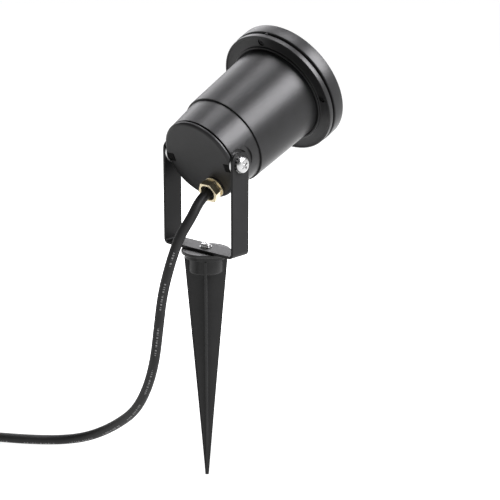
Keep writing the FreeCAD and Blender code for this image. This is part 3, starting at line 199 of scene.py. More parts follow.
def bright_metal(name, colour, gloss):
    """Polished or plated metal with fine wear."""
    finish = Finish(name)
    dull = tuple(c * 0.86 for c in colour)
    finish.colour(finish.ramp(finish.noise(500), [(0.3, dull), (0.7, colour)]))
    finish.gloss(1800, 2, gloss - 0.05, gloss + 0.08)
    finish.bump(finish.noise(2500, 2), 0.15, 0.00002)
    finish.set(Metallic=1.0)
    return finish.material


def clear_glass(name, tint=(1, 1, 1), gloss=0.02, through=1.0):
    """Clear or slightly frosted glass."""
    finish = Finish(name)
    finish.gloss(30, 2, gloss, gloss + 0.015)
    finish.bump(finish.noise(25, 1), 0.05, 0.0001)
    finish.set(Base_Color=(*tint, 1), Transmission_Weight=through, IOR=1.5)
    return finish.material


def glazed(name, colour, gloss=0.25):
    """Smooth coloured plastic or ceramic."""
    finish = Finish(name)
    dull = tuple(c * 0.92 for c in colour)
    finish.colour(finish.ramp(finish.noise(120), [(0.3, dull), (0.7, colour)]))
    finish.gloss(300, 2, gloss - 0.04, gloss + 0.06)
    finish.bump(finish.noise(500, 2), 0.15, 0.00004)
    return finish.material


head_coat = powder_coat("black satin powder coat", 0.012, 0.37, 0.32)
bracket_coat = powder_coat("black bracket coat", 0.008, 0.42, 0.24)
spike_plastic = moulded_plastic("black spike plastic", 0.012, 0.42)
cap_plastic = moulded_plastic("black cap plastic", 0.024, 0.42, 0.4)
# Painted shade: the bushes and the lead band are black plastic, but this near-black tone and very low shine
# stand in for the shadow in the gap between each arm and the head.
bush_plastic = moulded_plastic("near-black plastic with painted shade", 0.003, 0.6, 0.08)
seal_rubber = soft_rubber("black seal rubber", 0.012)
lead_rubber = soft_rubber("black lead rubber", 0.012, 0.5, marked=True)
screw_steel = bright_metal("bright screw steel", (0.66, 0.66, 0.66), 0.26)
gland_brass = bright_metal("pale gland brass", (1.0, 0.88, 0.62), 0.36)
pin_nickel = bright_metal("nickel plate", (0.82, 0.8, 0.76), 0.25)
strap_steel = bright_metal("strap steel", (0.7, 0.7, 0.7), 0.35)
reflector_metal = bright_metal("reflector shell", (0.9, 0.9, 0.92), 0.12)
dark_screw = bright_metal("blackened screw steel", (0.06, 0.06, 0.062), 0.4)
plug_rubber = soft_rubber("black plug rubber", 0.014, 0.5)
window_glass = clear_glass("toughened front glass")
lens_glass = clear_glass("lamp lens", (1, 1, 0.98), 0.04)
capsule_glass = clear_glass("warm lamp capsule", (1, 0.93, 0.7), 0.2, 0.5)
holder_ceramic = glazed("white ceramic", (0.85, 0.84, 0.8))
block_plastic = glazed("natural terminal plastic", (0.82, 0.82, 0.78), 0.4)
brown_core = glazed("brown core", (0.14, 0.05, 0.02), 0.4)
blue_core = glazed("blue core", (0.03, 0.09, 0.45), 0.4)
earth_core = glazed("earth core", (0.25, 0.45, 0.05), 0.4)

NODE_FINISH = {
    head_coat: ("rear_housing", "rear_cover", "front_barrel", "bezel_ring"),
    bracket_coat: ("u_bracket",),
    spike_plastic: ("ground_spike",),
    cap_plastic: ("spike_cap",),
    bush_plastic: ("pivot_bushes", "cord_tie"),
    seal_rubber: ("cover_seal", "barrel_ring", "flange_seal", "glass_seal", "gland_ring", "gland_seal",
                  "plug_body"),
    lead_rubber: ("cord_entry", "power_cord", "cord_coil", "cord_tail"),
    screw_steel: ("pan_screw", "pan_washer", "pan_nut", "pivot_screws", "tooth_washers", "flat_washers",
                  "bezel_screws", "strap_screws", "holder_screws", "earth_screw"),
    gland_brass: ("gland_body", "gland_nut"),
    pin_nickel: ("lamp_pins", "terminal_screws", "earth_tag", "plug_pins", "plug_earth_clips"),
    strap_steel: ("holder_strap",),
    reflector_metal: ("lamp_body",),
    window_glass: ("front_glass",),
    lens_glass: ("lamp_lens",),
    capsule_glass: ("lamp_capsule",),
    holder_ceramic: ("lamp_holder",),
    block_plastic: ("terminal_block",),
    brown_core: ("core_live", "lead_live"),
    blue_core: ("core_neutral", "lead_neutral"),
    earth_core: ("core_earth", "lead_earth"),
}
for finish_, names in NODE_FINISH.items():
    for name_ in names:
        nodes[name_].data.materials.clear()
        nodes[name_].data.materials.append(finish_)


# ---------------------------------------------------------------- making pieces

def plain_mesh(holder):
    """The finished mesh of an object with modifiers, which is then thrown away."""
    mesh = bpy.data.meshes.new_from_object(holder.evaluated_get(bpy.context.evaluated_depsgraph_get()))
    bpy.data.objects.remove(holder)
    return mesh


def hold(mesh):
    """A working object for a mesh that modifiers are to change."""
    holder = bpy.data.objects.new("work", mesh)
    bpy.context.scene.collection.objects.link(holder)
    return holder


def smooth(mesh, angle=35):
    """Shade a mesh smooth, and keep edges sharper than the angle in degrees."""
    mesh.polygons.foreach_set("use_smooth", [True] * len(mesh.polygons))
    mesh.set_sharp_from_angle(angle=math.radians(angle))
    return mesh


def merged_copy(node):
    """A CAD node's mesh with its triangles joined and its flat faces made whole."""
    shape = bmesh.new()
    shape.from_mesh(nodes[node].data)
    bmesh.ops.remove_doubles(shape, verts=shape.verts, dist=2e-6)
    bmesh.ops.dissolve_limit(shape, angle_limit=math.radians(0.3), verts=shape.verts, edges=shape.edges)
    mesh = bpy.data.meshes.new(node)
    shape.to_mesh(mesh)
    shape.free()
    return mesh


def softened(mesh, width, segments=3, angle=32):
    """Take the sharp edges off by a small radius."""
    holder = hold(mesh)
    edge = holder.modifiers.new("edge", "BEVEL")
    edge.width = width * MM
    edge.segments = segments
    edge.limit_method = "ANGLE"
    edge.angle_limit = math.radians(angle)
    edge.use_clamp_overlap = False
    mesh.polygons.foreach_set("use_smooth", [True] * len(mesh.polygons))
    holder.modifiers.new("shading", "WEIGHTED_NORMAL").keep_sharp = True
    return plain_mesh(holder)


def soft_piece(name, node, width, finish, body, slot, angle=32):
    """A piece that is the CAD node itself with its sharp edges taken off."""
    return add_piece(name, softened(merged_copy(node), width, angle=angle), finish, body, slot, node)


def cut_away(mesh, cutters):
    """Cut shapes out of a mesh."""
    holder = hold(mesh)
    tools = [hold(cutter) for cutter in cutters]
    for tool in tools:
        cut = holder.modifiers.new("cut", "BOOLEAN")
        cut.operation = "DIFFERENCE"
        cut.solver = "EXACT"
        cut.object = tool
    result = plain_mesh(holder)
    for tool in tools:
        bpy.data.objects.remove(tool)
    return result


def rod(place, radius, start, end, sides=32):
    """A closed cylinder along Z from one level to another, its middle at place (x, y)."""
    shape = bmesh.new()
    bmesh.ops.create_cone(shape, cap_ends=True, segments=sides, radius1=radius * MM, radius2=radius * MM,
                          depth=(end - start) * MM)
    bmesh.ops.translate(shape, verts=shape.verts, vec=Vector((place[0], place[1], (start + end) / 2)) * MM)
    mesh = bpy.data.meshes.new("rod")
    shape.to_mesh(mesh)
    shape.free()
    return mesh


def stood(mesh, matrix):
    """A mesh moved to where it belongs."""
    mesh.transform(matrix)
    return mesh


class ShapeTree:
    """A Geometry Nodes group with named sizes, and short calls to fill it."""

    def __init__(self, name, **sizes):
        self.group = bpy.data.node_groups.new(name, "GeometryNodeTree")
        sockets = self.group.interface
        sockets.new_socket("Geometry", in_out="INPUT", socket_type="NodeSocketGeometry")
        for label, value in sizes.items():
            kind = "Int" if isinstance(value, int) else "Float" if isinstance(value, float) else value
            socket = sockets.new_socket(label.replace("_", " "), in_out="INPUT",
                                        socket_type="NodeSocket" + kind)
            if kind in ("Int", "Float"):
                socket.default_value = value
        sockets.new_socket("Geometry", in_out="OUTPUT", socket_type="NodeSocketGeometry")
        self.inputs = self.group.nodes.new("NodeGroupInput").outputs
        self.result = self.group.nodes.new("NodeGroupOutput").inputs["Geometry"]

    def add(self, kind, *links, settings=None):
        """A node. Its links are (input, source) pairs, where a source is a socket or a plain value."""
        made = self.group.nodes.new(kind)
        for name, value in (settings or {}).items():
            setattr(made, name, value)
        for into, source in links:
            socket = made.inputs[into]
            if isinstance(source, bpy.types.NodeSocket):
                self.group.links.new(source, socket)
            else:
                socket.default_value = source
        return made.outputs

    def maths(self, operation, first, second):
        return self.add("ShaderNodeMath", (0, first), (1, second), settings={"operation": operation})[0]

    def finish(self, geometry):
        whole = self.add("GeometryNodeRealizeInstances", ("Geometry", geometry))[0]
        coated = self.add("GeometryNodeSetMaterial", ("Geometry", whole),
                          ("Material", self.inputs["Finish"]))[0]
        self.group.links.new(coated, self.result)
        return self

    def grow(self, seed, **sizes):
        """Run the tree on a seed mesh, and give the plain mesh that comes out."""
        holder = hold(seed)
        shape = holder.modifiers.new("shape", "NODES")
        shape.node_group = self.group
        for item in self.group.interface.items_tree:
            label = item.name.replace(" ", "_")
            if item.in_out == "INPUT" and label in sizes:
                shape[item.identifier] = sizes[label]
        return plain_mesh(holder)


def turned_shell_tree():
    """Spins a closed section about Z, with its corners rounded."""
    tree = ShapeTree("turned shell", Edge_Round=0.0004, Round_Steps=4, Around=168, Finish="Material")
    section = tree.add("GeometryNodeMeshToCurve", (0, tree.inputs["Geometry"]))[0]
    soft = tree.add("GeometryNodeFilletCurve", (0, section), ("Count", tree.inputs["Round Steps"]),
                    ("Radius", tree.inputs["Edge Round"]), ("Limit Radius", True),
                    settings={"mode": "POLY"})[0]
    circle = tree.add("GeometryNodeCurvePrimitiveCircle", ("Resolution", tree.inputs["Around"]),
                      ("Radius", MM))[0]
    upright = tree.add("GeometryNodeSetCurveNormal", (0, circle), settings={"mode": "Z_UP"})[0]
    return tree.finish(tree.add("GeometryNodeCurveToMesh", ("Curve", upright), ("Profile Curve", soft))[0])


def turned_shell(section, edge_round, finish):
    """A ring turned from (radius, level) corners in millimetres."""
    seed = bpy.data.meshes.new("section")
    count = len(section)
    seed.from_pydata([((radius - 1) * MM, -level * MM, 0) for radius, level in section],
                     [(index, (index + 1) % count) for index in range(count)], [])
    mesh = TURNED_SHELL.grow(seed, Edge_Round=edge_round * MM, Round_Steps=4, Around=168, Finish=finish)
    shape = bmesh.new()
    shape.from_mesh(mesh)
    bmesh.ops.recalc_face_normals(shape, faces=shape.faces)
    shape.to_mesh(mesh)
    shape.free()
    return mesh


def placed_tree():
    """Copies of one piece at every point of the seed, each turned by the point's own turn."""
    tree = ShapeTree("copies at their places", Piece="Object", Finish="Material")
    piece = tree.add("GeometryNodeObjectInfo", ("Object", tree.inputs["Piece"]))["Geometry"]
    turn = tree.add("GeometryNodeInputNamedAttribute", ("Name", "turn"),
                    settings={"data_type": "FLOAT_VECTOR"})[0]
    turning = tree.add("FunctionNodeEulerToRotation", ("Euler", turn))[0]
    return tree.finish(tree.add("GeometryNodeInstanceOnPoints", ("Points", tree.inputs["Geometry"]),
                                ("Instance", piece), ("Rotation", turning))[0])


def copies(mesh, matrices, finish):
    """One mesh made of copies of a piece, one for each matrix."""
    seed = bpy.data.meshes.new("places")
    seed.from_pydata([tuple(matrix.to_translation()) for matrix in matrices], [], [])
    turns = seed.attributes.new("turn", "FLOAT_VECTOR", "POINT")
    for index, matrix in enumerate(matrices):
        turns.data[index].vector = matrix.to_euler()
    piece = hold(mesh)
    made = PLACED.grow(seed, Piece=piece, Finish=finish)
    bpy.data.objects.remove(piece)
    return made


def toothed_washer_tree():
    """A flat ring with twisted teeth round its rim."""
    tree = ShapeTree("toothed washer", Teeth=12, Hole_Radius=0.0032, Root_Radius=0.0051, Tip_Radius=0.0063,
                     Thickness=0.0006, Tooth_Width=0.0014, Twist=0.5, Finish="Material")
    root, tip, hole = (tree.inputs[label] for label in ("Root Radius", "Tip Radius", "Hole Radius"))
    middle = tree.maths("MULTIPLY", tree.maths("ADD", root, hole), 0.5)
    circle = tree.add("GeometryNodeCurvePrimitiveCircle", ("Resolution", 96), ("Radius", middle))[0]
    upright = tree.add("GeometryNodeSetCurveNormal", (0, circle), settings={"mode": "Z_UP"})[0]
    band = tree.add("GeometryNodeCurvePrimitiveQuadrilateral", ("Width", tree.maths("SUBTRACT", root, hole)),
                    ("Height", tree.inputs["Thickness"]))[0]
    ring = tree.add("GeometryNodeCurveToMesh", ("Curve", upright), ("Profile Curve", band))[0]
    long = tree.maths("ADD", tree.maths("SUBTRACT", tip, root), 0.0005)
    size = tree.add("ShaderNodeCombineXYZ", (0, long), (1, tree.inputs["Tooth Width"]),
                    (2, tree.inputs["Thickness"]))[0]
    tooth = tree.add("GeometryNodeMeshCube", ("Size", size))["Mesh"]
    reach = tree.maths("SUBTRACT", tip, tree.maths("MULTIPLY", long, 0.5))
    spots = tree.add("GeometryNodeMeshCircle", ("Vertices", tree.inputs["Teeth"]), ("Radius", reach))[0]
    step = tree.maths("DIVIDE", 2 * math.pi, tree.inputs["Teeth"])
    index = tree.add("GeometryNodeInputIndex")[0]
    turn = tree.add("ShaderNodeCombineXYZ", (0, tree.inputs["Twist"]),
                    (2, tree.maths("MULTIPLY", index, step)))[0]
    turning = tree.add("FunctionNodeEulerToRotation", ("Euler", turn))[0]
    teeth = tree.add("GeometryNodeInstanceOnPoints", ("Points", spots), ("Instance", tooth),
                     ("Rotation", turning))[0]
    both = tree.add("GeometryNodeJoinGeometry")
    for part in (ring, teeth):
        tree.group.links.new(part, both[0].node.inputs[0])
    return tree.finish(both[0])


def add_piece(name, mesh, finish, body, slot, *hidden):
    """Link a finished mesh into the scene, and tell what it rides on and what it stands for."""
    piece = bpy.data.objects.new(name, mesh)
    bpy.context.scene.collection.objects.link(piece)
    mesh.materials.clear()
    mesh.materials.append(finish)
    if body:
        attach(piece, body)
    if hidden:
        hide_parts(*hidden)
    return piece


TURNED_SHELL = turned_shell_tree()
PLACED = placed_tree()
TOOTHED_WASHER = toothed_washer_tree()


# ---------------------------------------------------------------- the lead

CORD_DIAMETER = 7.6 * MM
GLAND_FACE = -16.5 * MM
CORD_POINTS = [
    (-8.6, 24.7, 35.8),
    (-2.7, 30.6, 22.5),
    (1.2, 36.2, 3.6),
    (9.3, 37.1, -22.8),
    (13.8, 37.0, -50.0),
    (19.0, 36.0, -77.0),
    (30.0, 33.5, -103.0),
    (47.0, 30.0, -126.0),
    (72.0, 25.2, -144.3),
    (92.0, 25.0, -156.5),
    (110.0, 27.6, -164.8),
    (129.2, 34.2, -169.7),
    (146.9, 49.0, -169.6),
    (170.0, 65.0, -168.8),
    (190.0, 78.5, -168.4),
    (211.8, 94.3, -168.4),
]
TAIL_STEPS = [
    (8.5, 0.0, 0.0), (21.5, 3.0, 4.6), (33.0, 16.0, 10.6), (34.8, 35.0, 14.2), (27.0, 54.5, 16.8),
]
COIL_START_RADIUS = 48.0
COIL_PITCH = 8.05


def lead_route():
    """The lead's points: out of the gland, along the ground, round the coil and on to the plug."""
    exit_point = GLAND @ Vector((0, 0, GLAND_FACE))
    points = [exit_point, GLAND @ Vector((0, 0, GLAND_FACE - 0.008))]
    points += [Vector(point) * MM for point in CORD_POINTS]
    heading = points[-1] - points[-2]
    heading.z = 0
    heading.normalize()
    inward = Vector((heading.y, -heading.x, 0))
    place = points[-1] + heading * CORD_DIAMETER
    across, along = inward, heading
    radii = [COIL_START_RADIUS - COIL_PITCH / 2 * turn for turn in range(5)]
    radii += [radii[-1] + COIL_PITCH / 2 * turn for turn in range(1, 4)]
    for number, radius in enumerate(radii):
        climb = COIL_PITCH if number == 4 else 0.0
        middle = place + across * radius * MM
        for step in range(8):
            angle = math.pi * (step + 0.5) / 8
            reach = radius * MM / math.cos(math.pi / 16)
            height = climb * MM * (1 - math.cos(angle)) / 2
            points.append(middle - across * (reach * math.cos(angle)) + along * (reach * math.sin(angle))
                          + Vector((0, 0, height)))
        place = place + across * (2 * radius * MM) + Vector((0, 0, climb * MM))
        across, along = -across, -along
    end = place + heading * CORD_DIAMETER
    points.append(end)
    for ahead, aside, up in TAIL_STEPS:
        points.append(end + (heading * ahead + inward * aside + Vector((0, 0, up))) * MM)
    return points


def smooth_line(name, points):
    """A NURBS curve with these control points."""
    curve = bpy.data.curves.new(name, "CURVE")
    curve.dimensions = "3D"
    spline = curve.splines.new("NURBS")
    spline.points.add(len(points) - 1)
    for point, place in zip(spline.points, points):
        point.co = (*place, 1)
    spline.order_u = 3
    spline.use_endpoint_u = True
    spline.resolution_u = 10
    return curve


def line_points(curve):
    """Points along a curve that has no thickness."""
    holder = bpy.data.objects.new("line", curve)
    bpy.context.scene.collection.objects.link(holder)
    mesh = bpy.data.meshes.new_from_object(holder.evaluated_get(bpy.context.evaluated_depsgraph_get()))
    places = [vertex.co.copy() for vertex in mesh.vertices]
    bpy.data.objects.remove(holder)
    bpy.data.meshes.remove(mesh)
    return places


def tube_mesh(name, line, radius, sides=24):
    """A round tube along a line, closed at both ends, with rings that do not twist."""
    rings = []
    way = (line[1] - line[0]).normalized()
    side = way.orthogonal().normalized()
    for index, place in enumerate(line):
        before = line[max(index - 1, 0)]
        after = line[min(index + 1, len(line) - 1)]
        way = (after - before).normalized()
        side = (side - way * side.dot(way)).normalized()
        other = way.cross(side)
        rings.append([place + (side * math.cos(turn) + other * math.sin(turn)) * radius
                      for turn in (2 * math.pi * step / sides for step in range(sides))])
    vertices = [point for ring in rings for point in ring]
    faces = []
    for ring in range(len(rings) - 1):
        for step in range(sides):
            following = (step + 1) % sides
            faces.append((ring * sides + step, ring * sides + following,
                          (ring + 1) * sides + following, (ring + 1) * sides + step))
    faces.append(tuple(reversed(range(sides))))
    faces.append(tuple(range(len(vertices) - sides, len(vertices))))
    mesh = bpy.data.meshes.new(name)
    mesh.from_pydata(vertices, [], faces)
    along = [0.0]
    for before, after in zip(line, line[1:]):
        along.append(along[-1] + (after - before).length)
    unwrap = mesh.uv_layers.new(name="along and around")
    for face in mesh.polygons:
        wraps = face.index < len(rings) * sides - sides and face.index % sides == sides - 1
        for corner in face.loop_indices:
            vertex = mesh.loops[corner].vertex_index
            step = vertex % sides or (sides if wraps else 0)
            unwrap.data[corner].uv = (along[vertex // sides], step / sides)
    mesh.polygons.foreach_set("use_smooth", [True] * len(mesh.polygons))
    mesh.set_sharp_from_angle(angle=math.radians(40))
    return mesh


PLUG_SEAT = (276.0139, 82.6354, -144.5329)
PLUG_WAY = (0.2423084, -0.9623888, 0.1228590)


def plug_matrix():
    """Local Z from the lead into the plug, local X level, towards one pin."""
    way = Vector(PLUG_WAY).normalized()
    across = Vector((0, 0, 1)).cross(way).normalized()
    other = way.cross(across)
    place = Vector(PLUG_SEAT) * MM
    return Matrix(((across.x, other.x, way.x, place.x), (across.y, other.y, way.y, place.y),
                   (across.z, other.z, way.z, place.z), (0, 0, 0, 1)))


def plug_pieces():
    """Moulded plug with a ringed sleeve round the lead and ribs to grip."""
    stand = plug_matrix()
    sleeve = [(3.85, 0.0), (4.9, 0.0)]
    for ring in range(6):
        level = 0.6 + ring * 3.8
        grow = 0.24 * ring
        sleeve += [(5.1 + grow, level), (5.1 + grow, level + 2.3),
                   (4.4 + grow, level + 2.7), (4.4 + grow, level + 3.4)]
    profile = sleeve + [(6.6, 24.0), (10.6, 24.3), (12.4, 27.5), (12.4, 45.0), (13.6, 47.5), (18.4, 51.5),
                        (18.5, 64.6), (17.6, 66.0), (0, 66.0)]
    body = turned_solid([(0, 8.0), (3.85, 8.0)] + rounded_corners(profile, 0.8, 3), 72)
    cuts = [block((6.3, 2.2, 16.2), (0, side * 18.9, 59.0)) for side in (1, -1)]
    cuts += [rod((side, 0), 3.05, 60.0, 67.0) for side in (9.5, -9.5)]
    shell = smooth(stood(cut_away(body, cuts), stand), 40)
    rib = softened(block((1.7, 1.0, 15.0), (12.5, 0, 36.0)), 0.4, 2)
    turns = [Matrix.Rotation(2 * math.pi * turn / 20, 4, "Z") for turn in range(20)]
    ribs = smooth(stood(copies(rib, turns, plug_rubber), stand), 40)
    moulding = add_piece("plug_moulding", joined("plug_moulding", shell, ribs), plug_rubber, "bracket",
                         "black_rubber", "plug_body")
    smooth(moulding.data, 40)
    pins = soft_piece("plug_pin_pair", "plug_pins", 0.15, pin_nickel, "bracket", "nickel")
    clips = soft_piece("earth_contacts", "plug_earth_clips", 0.15, pin_nickel, "bracket", "nickel")
    band = soft_piece("lead_band", "cord_tie", 0.35, bush_plastic, "bracket", "bush_plastic")
    return [band, moulding, pins, clips]


# ---------------------------------------------------------------- lamp head

STEP_LEVEL = 21.1
FLANGE = 87.3
SCREW_CIRCLE = 44.0
SCREW_TURN = -1.7
SEAL_TAB_TURN = 93.0


def bezel_screw_places():
    """The four screws of the bezel, as (x, y) in the frame of the head."""
    return [(SCREW_CIRCLE * math.cos(math.radians(SCREW_TURN + 90 * turn)),
             SCREW_CIRCLE * math.sin(math.radians(SCREW_TURN + 90 * turn))) for turn in range(4)]


def barrel_mesh():
    """The cone-sided barrel with its lip and its dished flange."""
    shell = turned_shell([
        (32.0, STEP_LEVEL + 0.5), (35.8, STEP_LEVEL + 0.5), (38.1, FLANGE), (38.8, FLANGE),
        (38.8, FLANGE - 1.4), (40.5, FLANGE - 1.4), (40.5, FLANGE + 0.5), (48.1, FLANGE + 0.5),
        (48.1, FLANGE), (49.5, FLANGE),
        (49.5, FLANGE + 4), (35.5, FLANGE + 4), (33.2, STEP_LEVEL + 8.4), (32.0, STEP_LEVEL + 8.4)],
        0.45, head_coat)
    holes = []
    for place in bezel_screw_places():
        holes.append(rod(place, 1.75, FLANGE - 2, FLANGE + 6))
        holes.append(rod(place, 2.85, FLANGE - 2, FLANGE + 2.2))
    return smooth(stood(cut_away(shell, holes), HEAD), 38)


def bezel_mesh():
    """The front ring with its lip over the glass."""
    back = FLANGE + 5.8
    front = back + 10.4
    return smooth(stood(turned_shell([
        (40.9, back), (50.0, back), (50.0, front), (39.0, front), (37.5, front - 1.5), (37.5, front - 3),
        (40.9, front - 3)], 0.9, head_coat), HEAD), 50)


def seal_mesh(inner, outer, start, end):
    """A flat rubber ring between two levels of the head."""
    return smooth(stood(turned_shell([(inner, start), (outer, start), (outer, end), (inner, end)], 0.25,
                                     seal_rubber), HEAD), 50)


def turned_solid(profile, around=64):
    """A closed shape turned about Z from (radius, level) points whose ends lie on the axis."""
    shape = bmesh.new()
    rows = []
    for radius, level in profile:
        if radius < 1e-6:
            rows.append([shape.verts.new((0, 0, level * MM))])
            continue
        rows.append([shape.verts.new((radius * MM * math.cos(turn), radius * MM * math.sin(turn), level * MM))
                     for turn in (2 * math.pi * step / around for step in range(around))])
    for low, high in zip(rows, rows[1:]):
        for step in range(around):
            after = (step + 1) % around
            if len(low) == 1:
                shape.faces.new((low[0], high[after], high[step]))
            elif len(high) == 1:
                shape.faces.new((low[step], low[after], high[0]))
            else:
                shape.faces.new((low[step], low[after], high[after], high[step]))
    bmesh.ops.recalc_face_normals(shape, faces=shape.faces)
    mesh = bpy.data.meshes.new("turned")
    shape.to_mesh(mesh)
    shape.free()
    return mesh


def rounded_corners(profile, radius, steps=4):
    """Replace the inner corners of a profile with small arcs."""
    points = [profile[0]]
    for before, corner, after in zip(profile, profile[1:], profile[2:]):
        here = Vector(corner)
        ways = [Vector(before) - here, Vector(after) - here]
        reach = min(radius, ways[0].length * 0.45, ways[1].length * 0.45)
        start = here + ways[0].normalized() * reach
        end = here + ways[1].normalized() * reach
        for step in range(steps + 1):
            share = step / steps
            points.append(tuple(start * (1 - share) ** 2 + here * (2 * share * (1 - share))
                                + end * share ** 2))
    return points + [profile[-1]]


def block(size, place=(0, 0, 0), matrix=None, taper=1.0):
    """A closed block in millimetres whose lower face may be narrower."""
    shape = bmesh.new()
    bmesh.ops.create_cube(shape, size=1.0)
    for vertex in shape.verts:
        narrow = taper if vertex.co.z < 0 else 1.0
        scaled = (vertex.co.x * size[0] * narrow, vertex.co.y * size[1] * narrow, vertex.co.z * size[2])
        vertex.co = (Vector(scaled) + Vector(place)) * MM
    mesh = bpy.data.meshes.new("block")
    shape.to_mesh(mesh)
    shape.free()
    if matrix:
        mesh.transform(matrix)
    return mesh


def joined(name, *meshes):
    """Several meshes as one."""
    shape = bmesh.new()
    for mesh in meshes:
        shape.from_mesh(mesh)
    whole = bpy.data.meshes.new(name)
    shape.to_mesh(whole)
    shape.free()
    return whole


def cross_head_screw(head_radius, head_height, shank_radius, shank_length, reach, width, depth):
    """A pan-head screw along Z: its head stands on level 0 and its shank hangs below."""
    crown = [(head_radius, head_height * 0.42), (head_radius * 0.93, head_height * 0.7),
             (head_radius * 0.74, head_height * 0.91), (head_radius * 0.42, head_height)]
    profile = [(0, -shank_length), (shank_radius * 0.8, -shank_length), (shank_radius, -shank_length + 0.6),
               (shank_radius, 0), (head_radius, 0), *crown, (0, head_height)]
    body = turned_solid(rounded_corners(profile, 0.25, 3))
    tools = [block((2 * reach, width, 2 * depth), (0, 0, head_height), taper=0.72),
             block((width, 2 * reach, 2 * depth), (0, 0, head_height), taper=0.72)]
    return smooth(cut_away(body, tools), 32)


def socket_head_screw(head_radius, head_height, shank_radius, shank_length, key_radius, depth):
    """A screw along Z with a hexagon socket in its head."""
    profile = [(0, -shank_length), (shank_radius, -shank_length), (shank_radius, 0), (head_radius, 0),
               (head_radius, head_height), (0, head_height)]
    body = turned_solid(rounded_corners(profile, 0.25, 3), 48)
    return smooth(cut_away(body, [rod((0, 0), key_radius, head_height - depth, head_height + 1, 6)]), 32)


def pivot_turn(side):
    """Local Z along the tilt axis, outwards on the given side."""
    return Matrix.Translation(PIVOT) @ Matrix.Rotation(math.radians(90 * side), 4, "Y")


def housing_pieces():
    """The shells of the head, the gasket between its flanges and the screws of the bezel."""
    add_piece("front_shell", barrel_mesh(), head_coat, "head", "powder_coat", "front_barrel")
    add_piece("bezel", bezel_mesh(), head_coat, "head", "powder_coat", "bezel_ring")
    tab = block((3.2, 1.6, 1.5), (48.4, 0, FLANGE + 4.9),
                HEAD @ Matrix.Rotation(math.radians(SEAL_TAB_TURN), 4, "Z"))
    gasket = joined("flange_gasket", seal_mesh(36.5, 47.2, FLANGE + 4.0, FLANGE + 5.8), tab)
    add_piece("flange_gasket", gasket, seal_rubber, "head", "black_rubber", "flange_seal")
    soft_piece("pivot_housing", "rear_housing", 0.35, head_coat, "head", "powder_coat")
    soft_piece("back_cover", "rear_cover", 0.2, head_coat, "head", "powder_coat", angle=50)
    screw = socket_head_screw(2.6, 0.8, 1.5, 9.0, 1.3, 0.5)
    flip = Matrix.Rotation(math.pi, 4, "X")
    places = [Matrix.Translation(Vector((*place, FLANGE + 2.2)) * MM) @ flip
              for place in bezel_screw_places()]
    add_piece("flange_screws", smooth(stood(copies(screw, places, dark_screw), HEAD), 32), dark_screw, "head",
              "stainless", "bezel_screws")


def pivot_pieces():
    """On each side a stack along the tilt axis: bush, disc, arm, toothed washer and screw."""
    def at_both_sides(mesh, level, twist=0):
        place = Matrix.Translation((0, 0, level * MM)) @ Matrix.Rotation(math.radians(twist), 4, "Z")
        return copies(mesh, [pivot_turn(side) @ place for side in (1, -1)], screw_steel)

    screw = cross_head_screw(6.0, 3.3, 3.0, 19.8, 3.7, 1.5, 1.5)
    add_piece("pivot_screw_pair", smooth(at_both_sides(screw, 35.6, 34), 32), screw_steel, "head",
              "stainless", "pivot_screws")
    star = TOOTHED_WASHER.grow(bpy.data.meshes.new("seed"), Teeth=14, Finish=screw_steel)
    add_piece("shakeproof_washers", smooth(at_both_sides(star, 35.2)), screw_steel, "bracket",
              "stainless", "tooth_washers")
    soft_piece("clamp_discs", "flat_washers", 0.3, screw_steel, "bracket", "stainless")
    # The bushes wear near-black plastic that is painted shade for the gap beside each arm.
    soft_piece("bush_pair", "pivot_bushes", 0.4, bush_plastic, "head", "bush_plastic")


def bracket_pieces():
    """The bent strip, with the screw and washer that it turns on."""
    soft_piece("bracket_strip", "u_bracket", 0.28, bracket_coat, "bracket", "bracket_coat")
    screw = cross_head_screw(4.0, 2.4, 2.0, 12.9, 2.3, 1.1, 1.3)
    place = Matrix.Translation((0, 0, 8.1 * MM)) @ Matrix.Rotation(math.radians(52), 4, "Z")
    add_piece("plate_screw", smooth(stood(screw, place), 32), screw_steel, "spike", "stainless", "pan_screw")
    soft_piece("plate_washer", "pan_washer", 0.12, screw_steel, "spike", "stainless")


def spike_pieces():
    """The bladed spike and the disc that the bracket turns on."""
    soft_piece("bladed_spike", "ground_spike", 0.38, spike_plastic, "spike", "spike_plastic")
    soft_piece("spike_disc", "spike_cap", 0.5, cap_plastic, "spike", "spike_plastic")


def gland_pieces():
    """The brass gland where the lead enters the head."""
    soft_piece("gland_stem", "gland_body", 0.22, gland_brass, "head", "gland_brass")
    soft_piece("gland_clamp_nut", "gland_nut", 0.45, gland_brass, "head", "gland_brass")


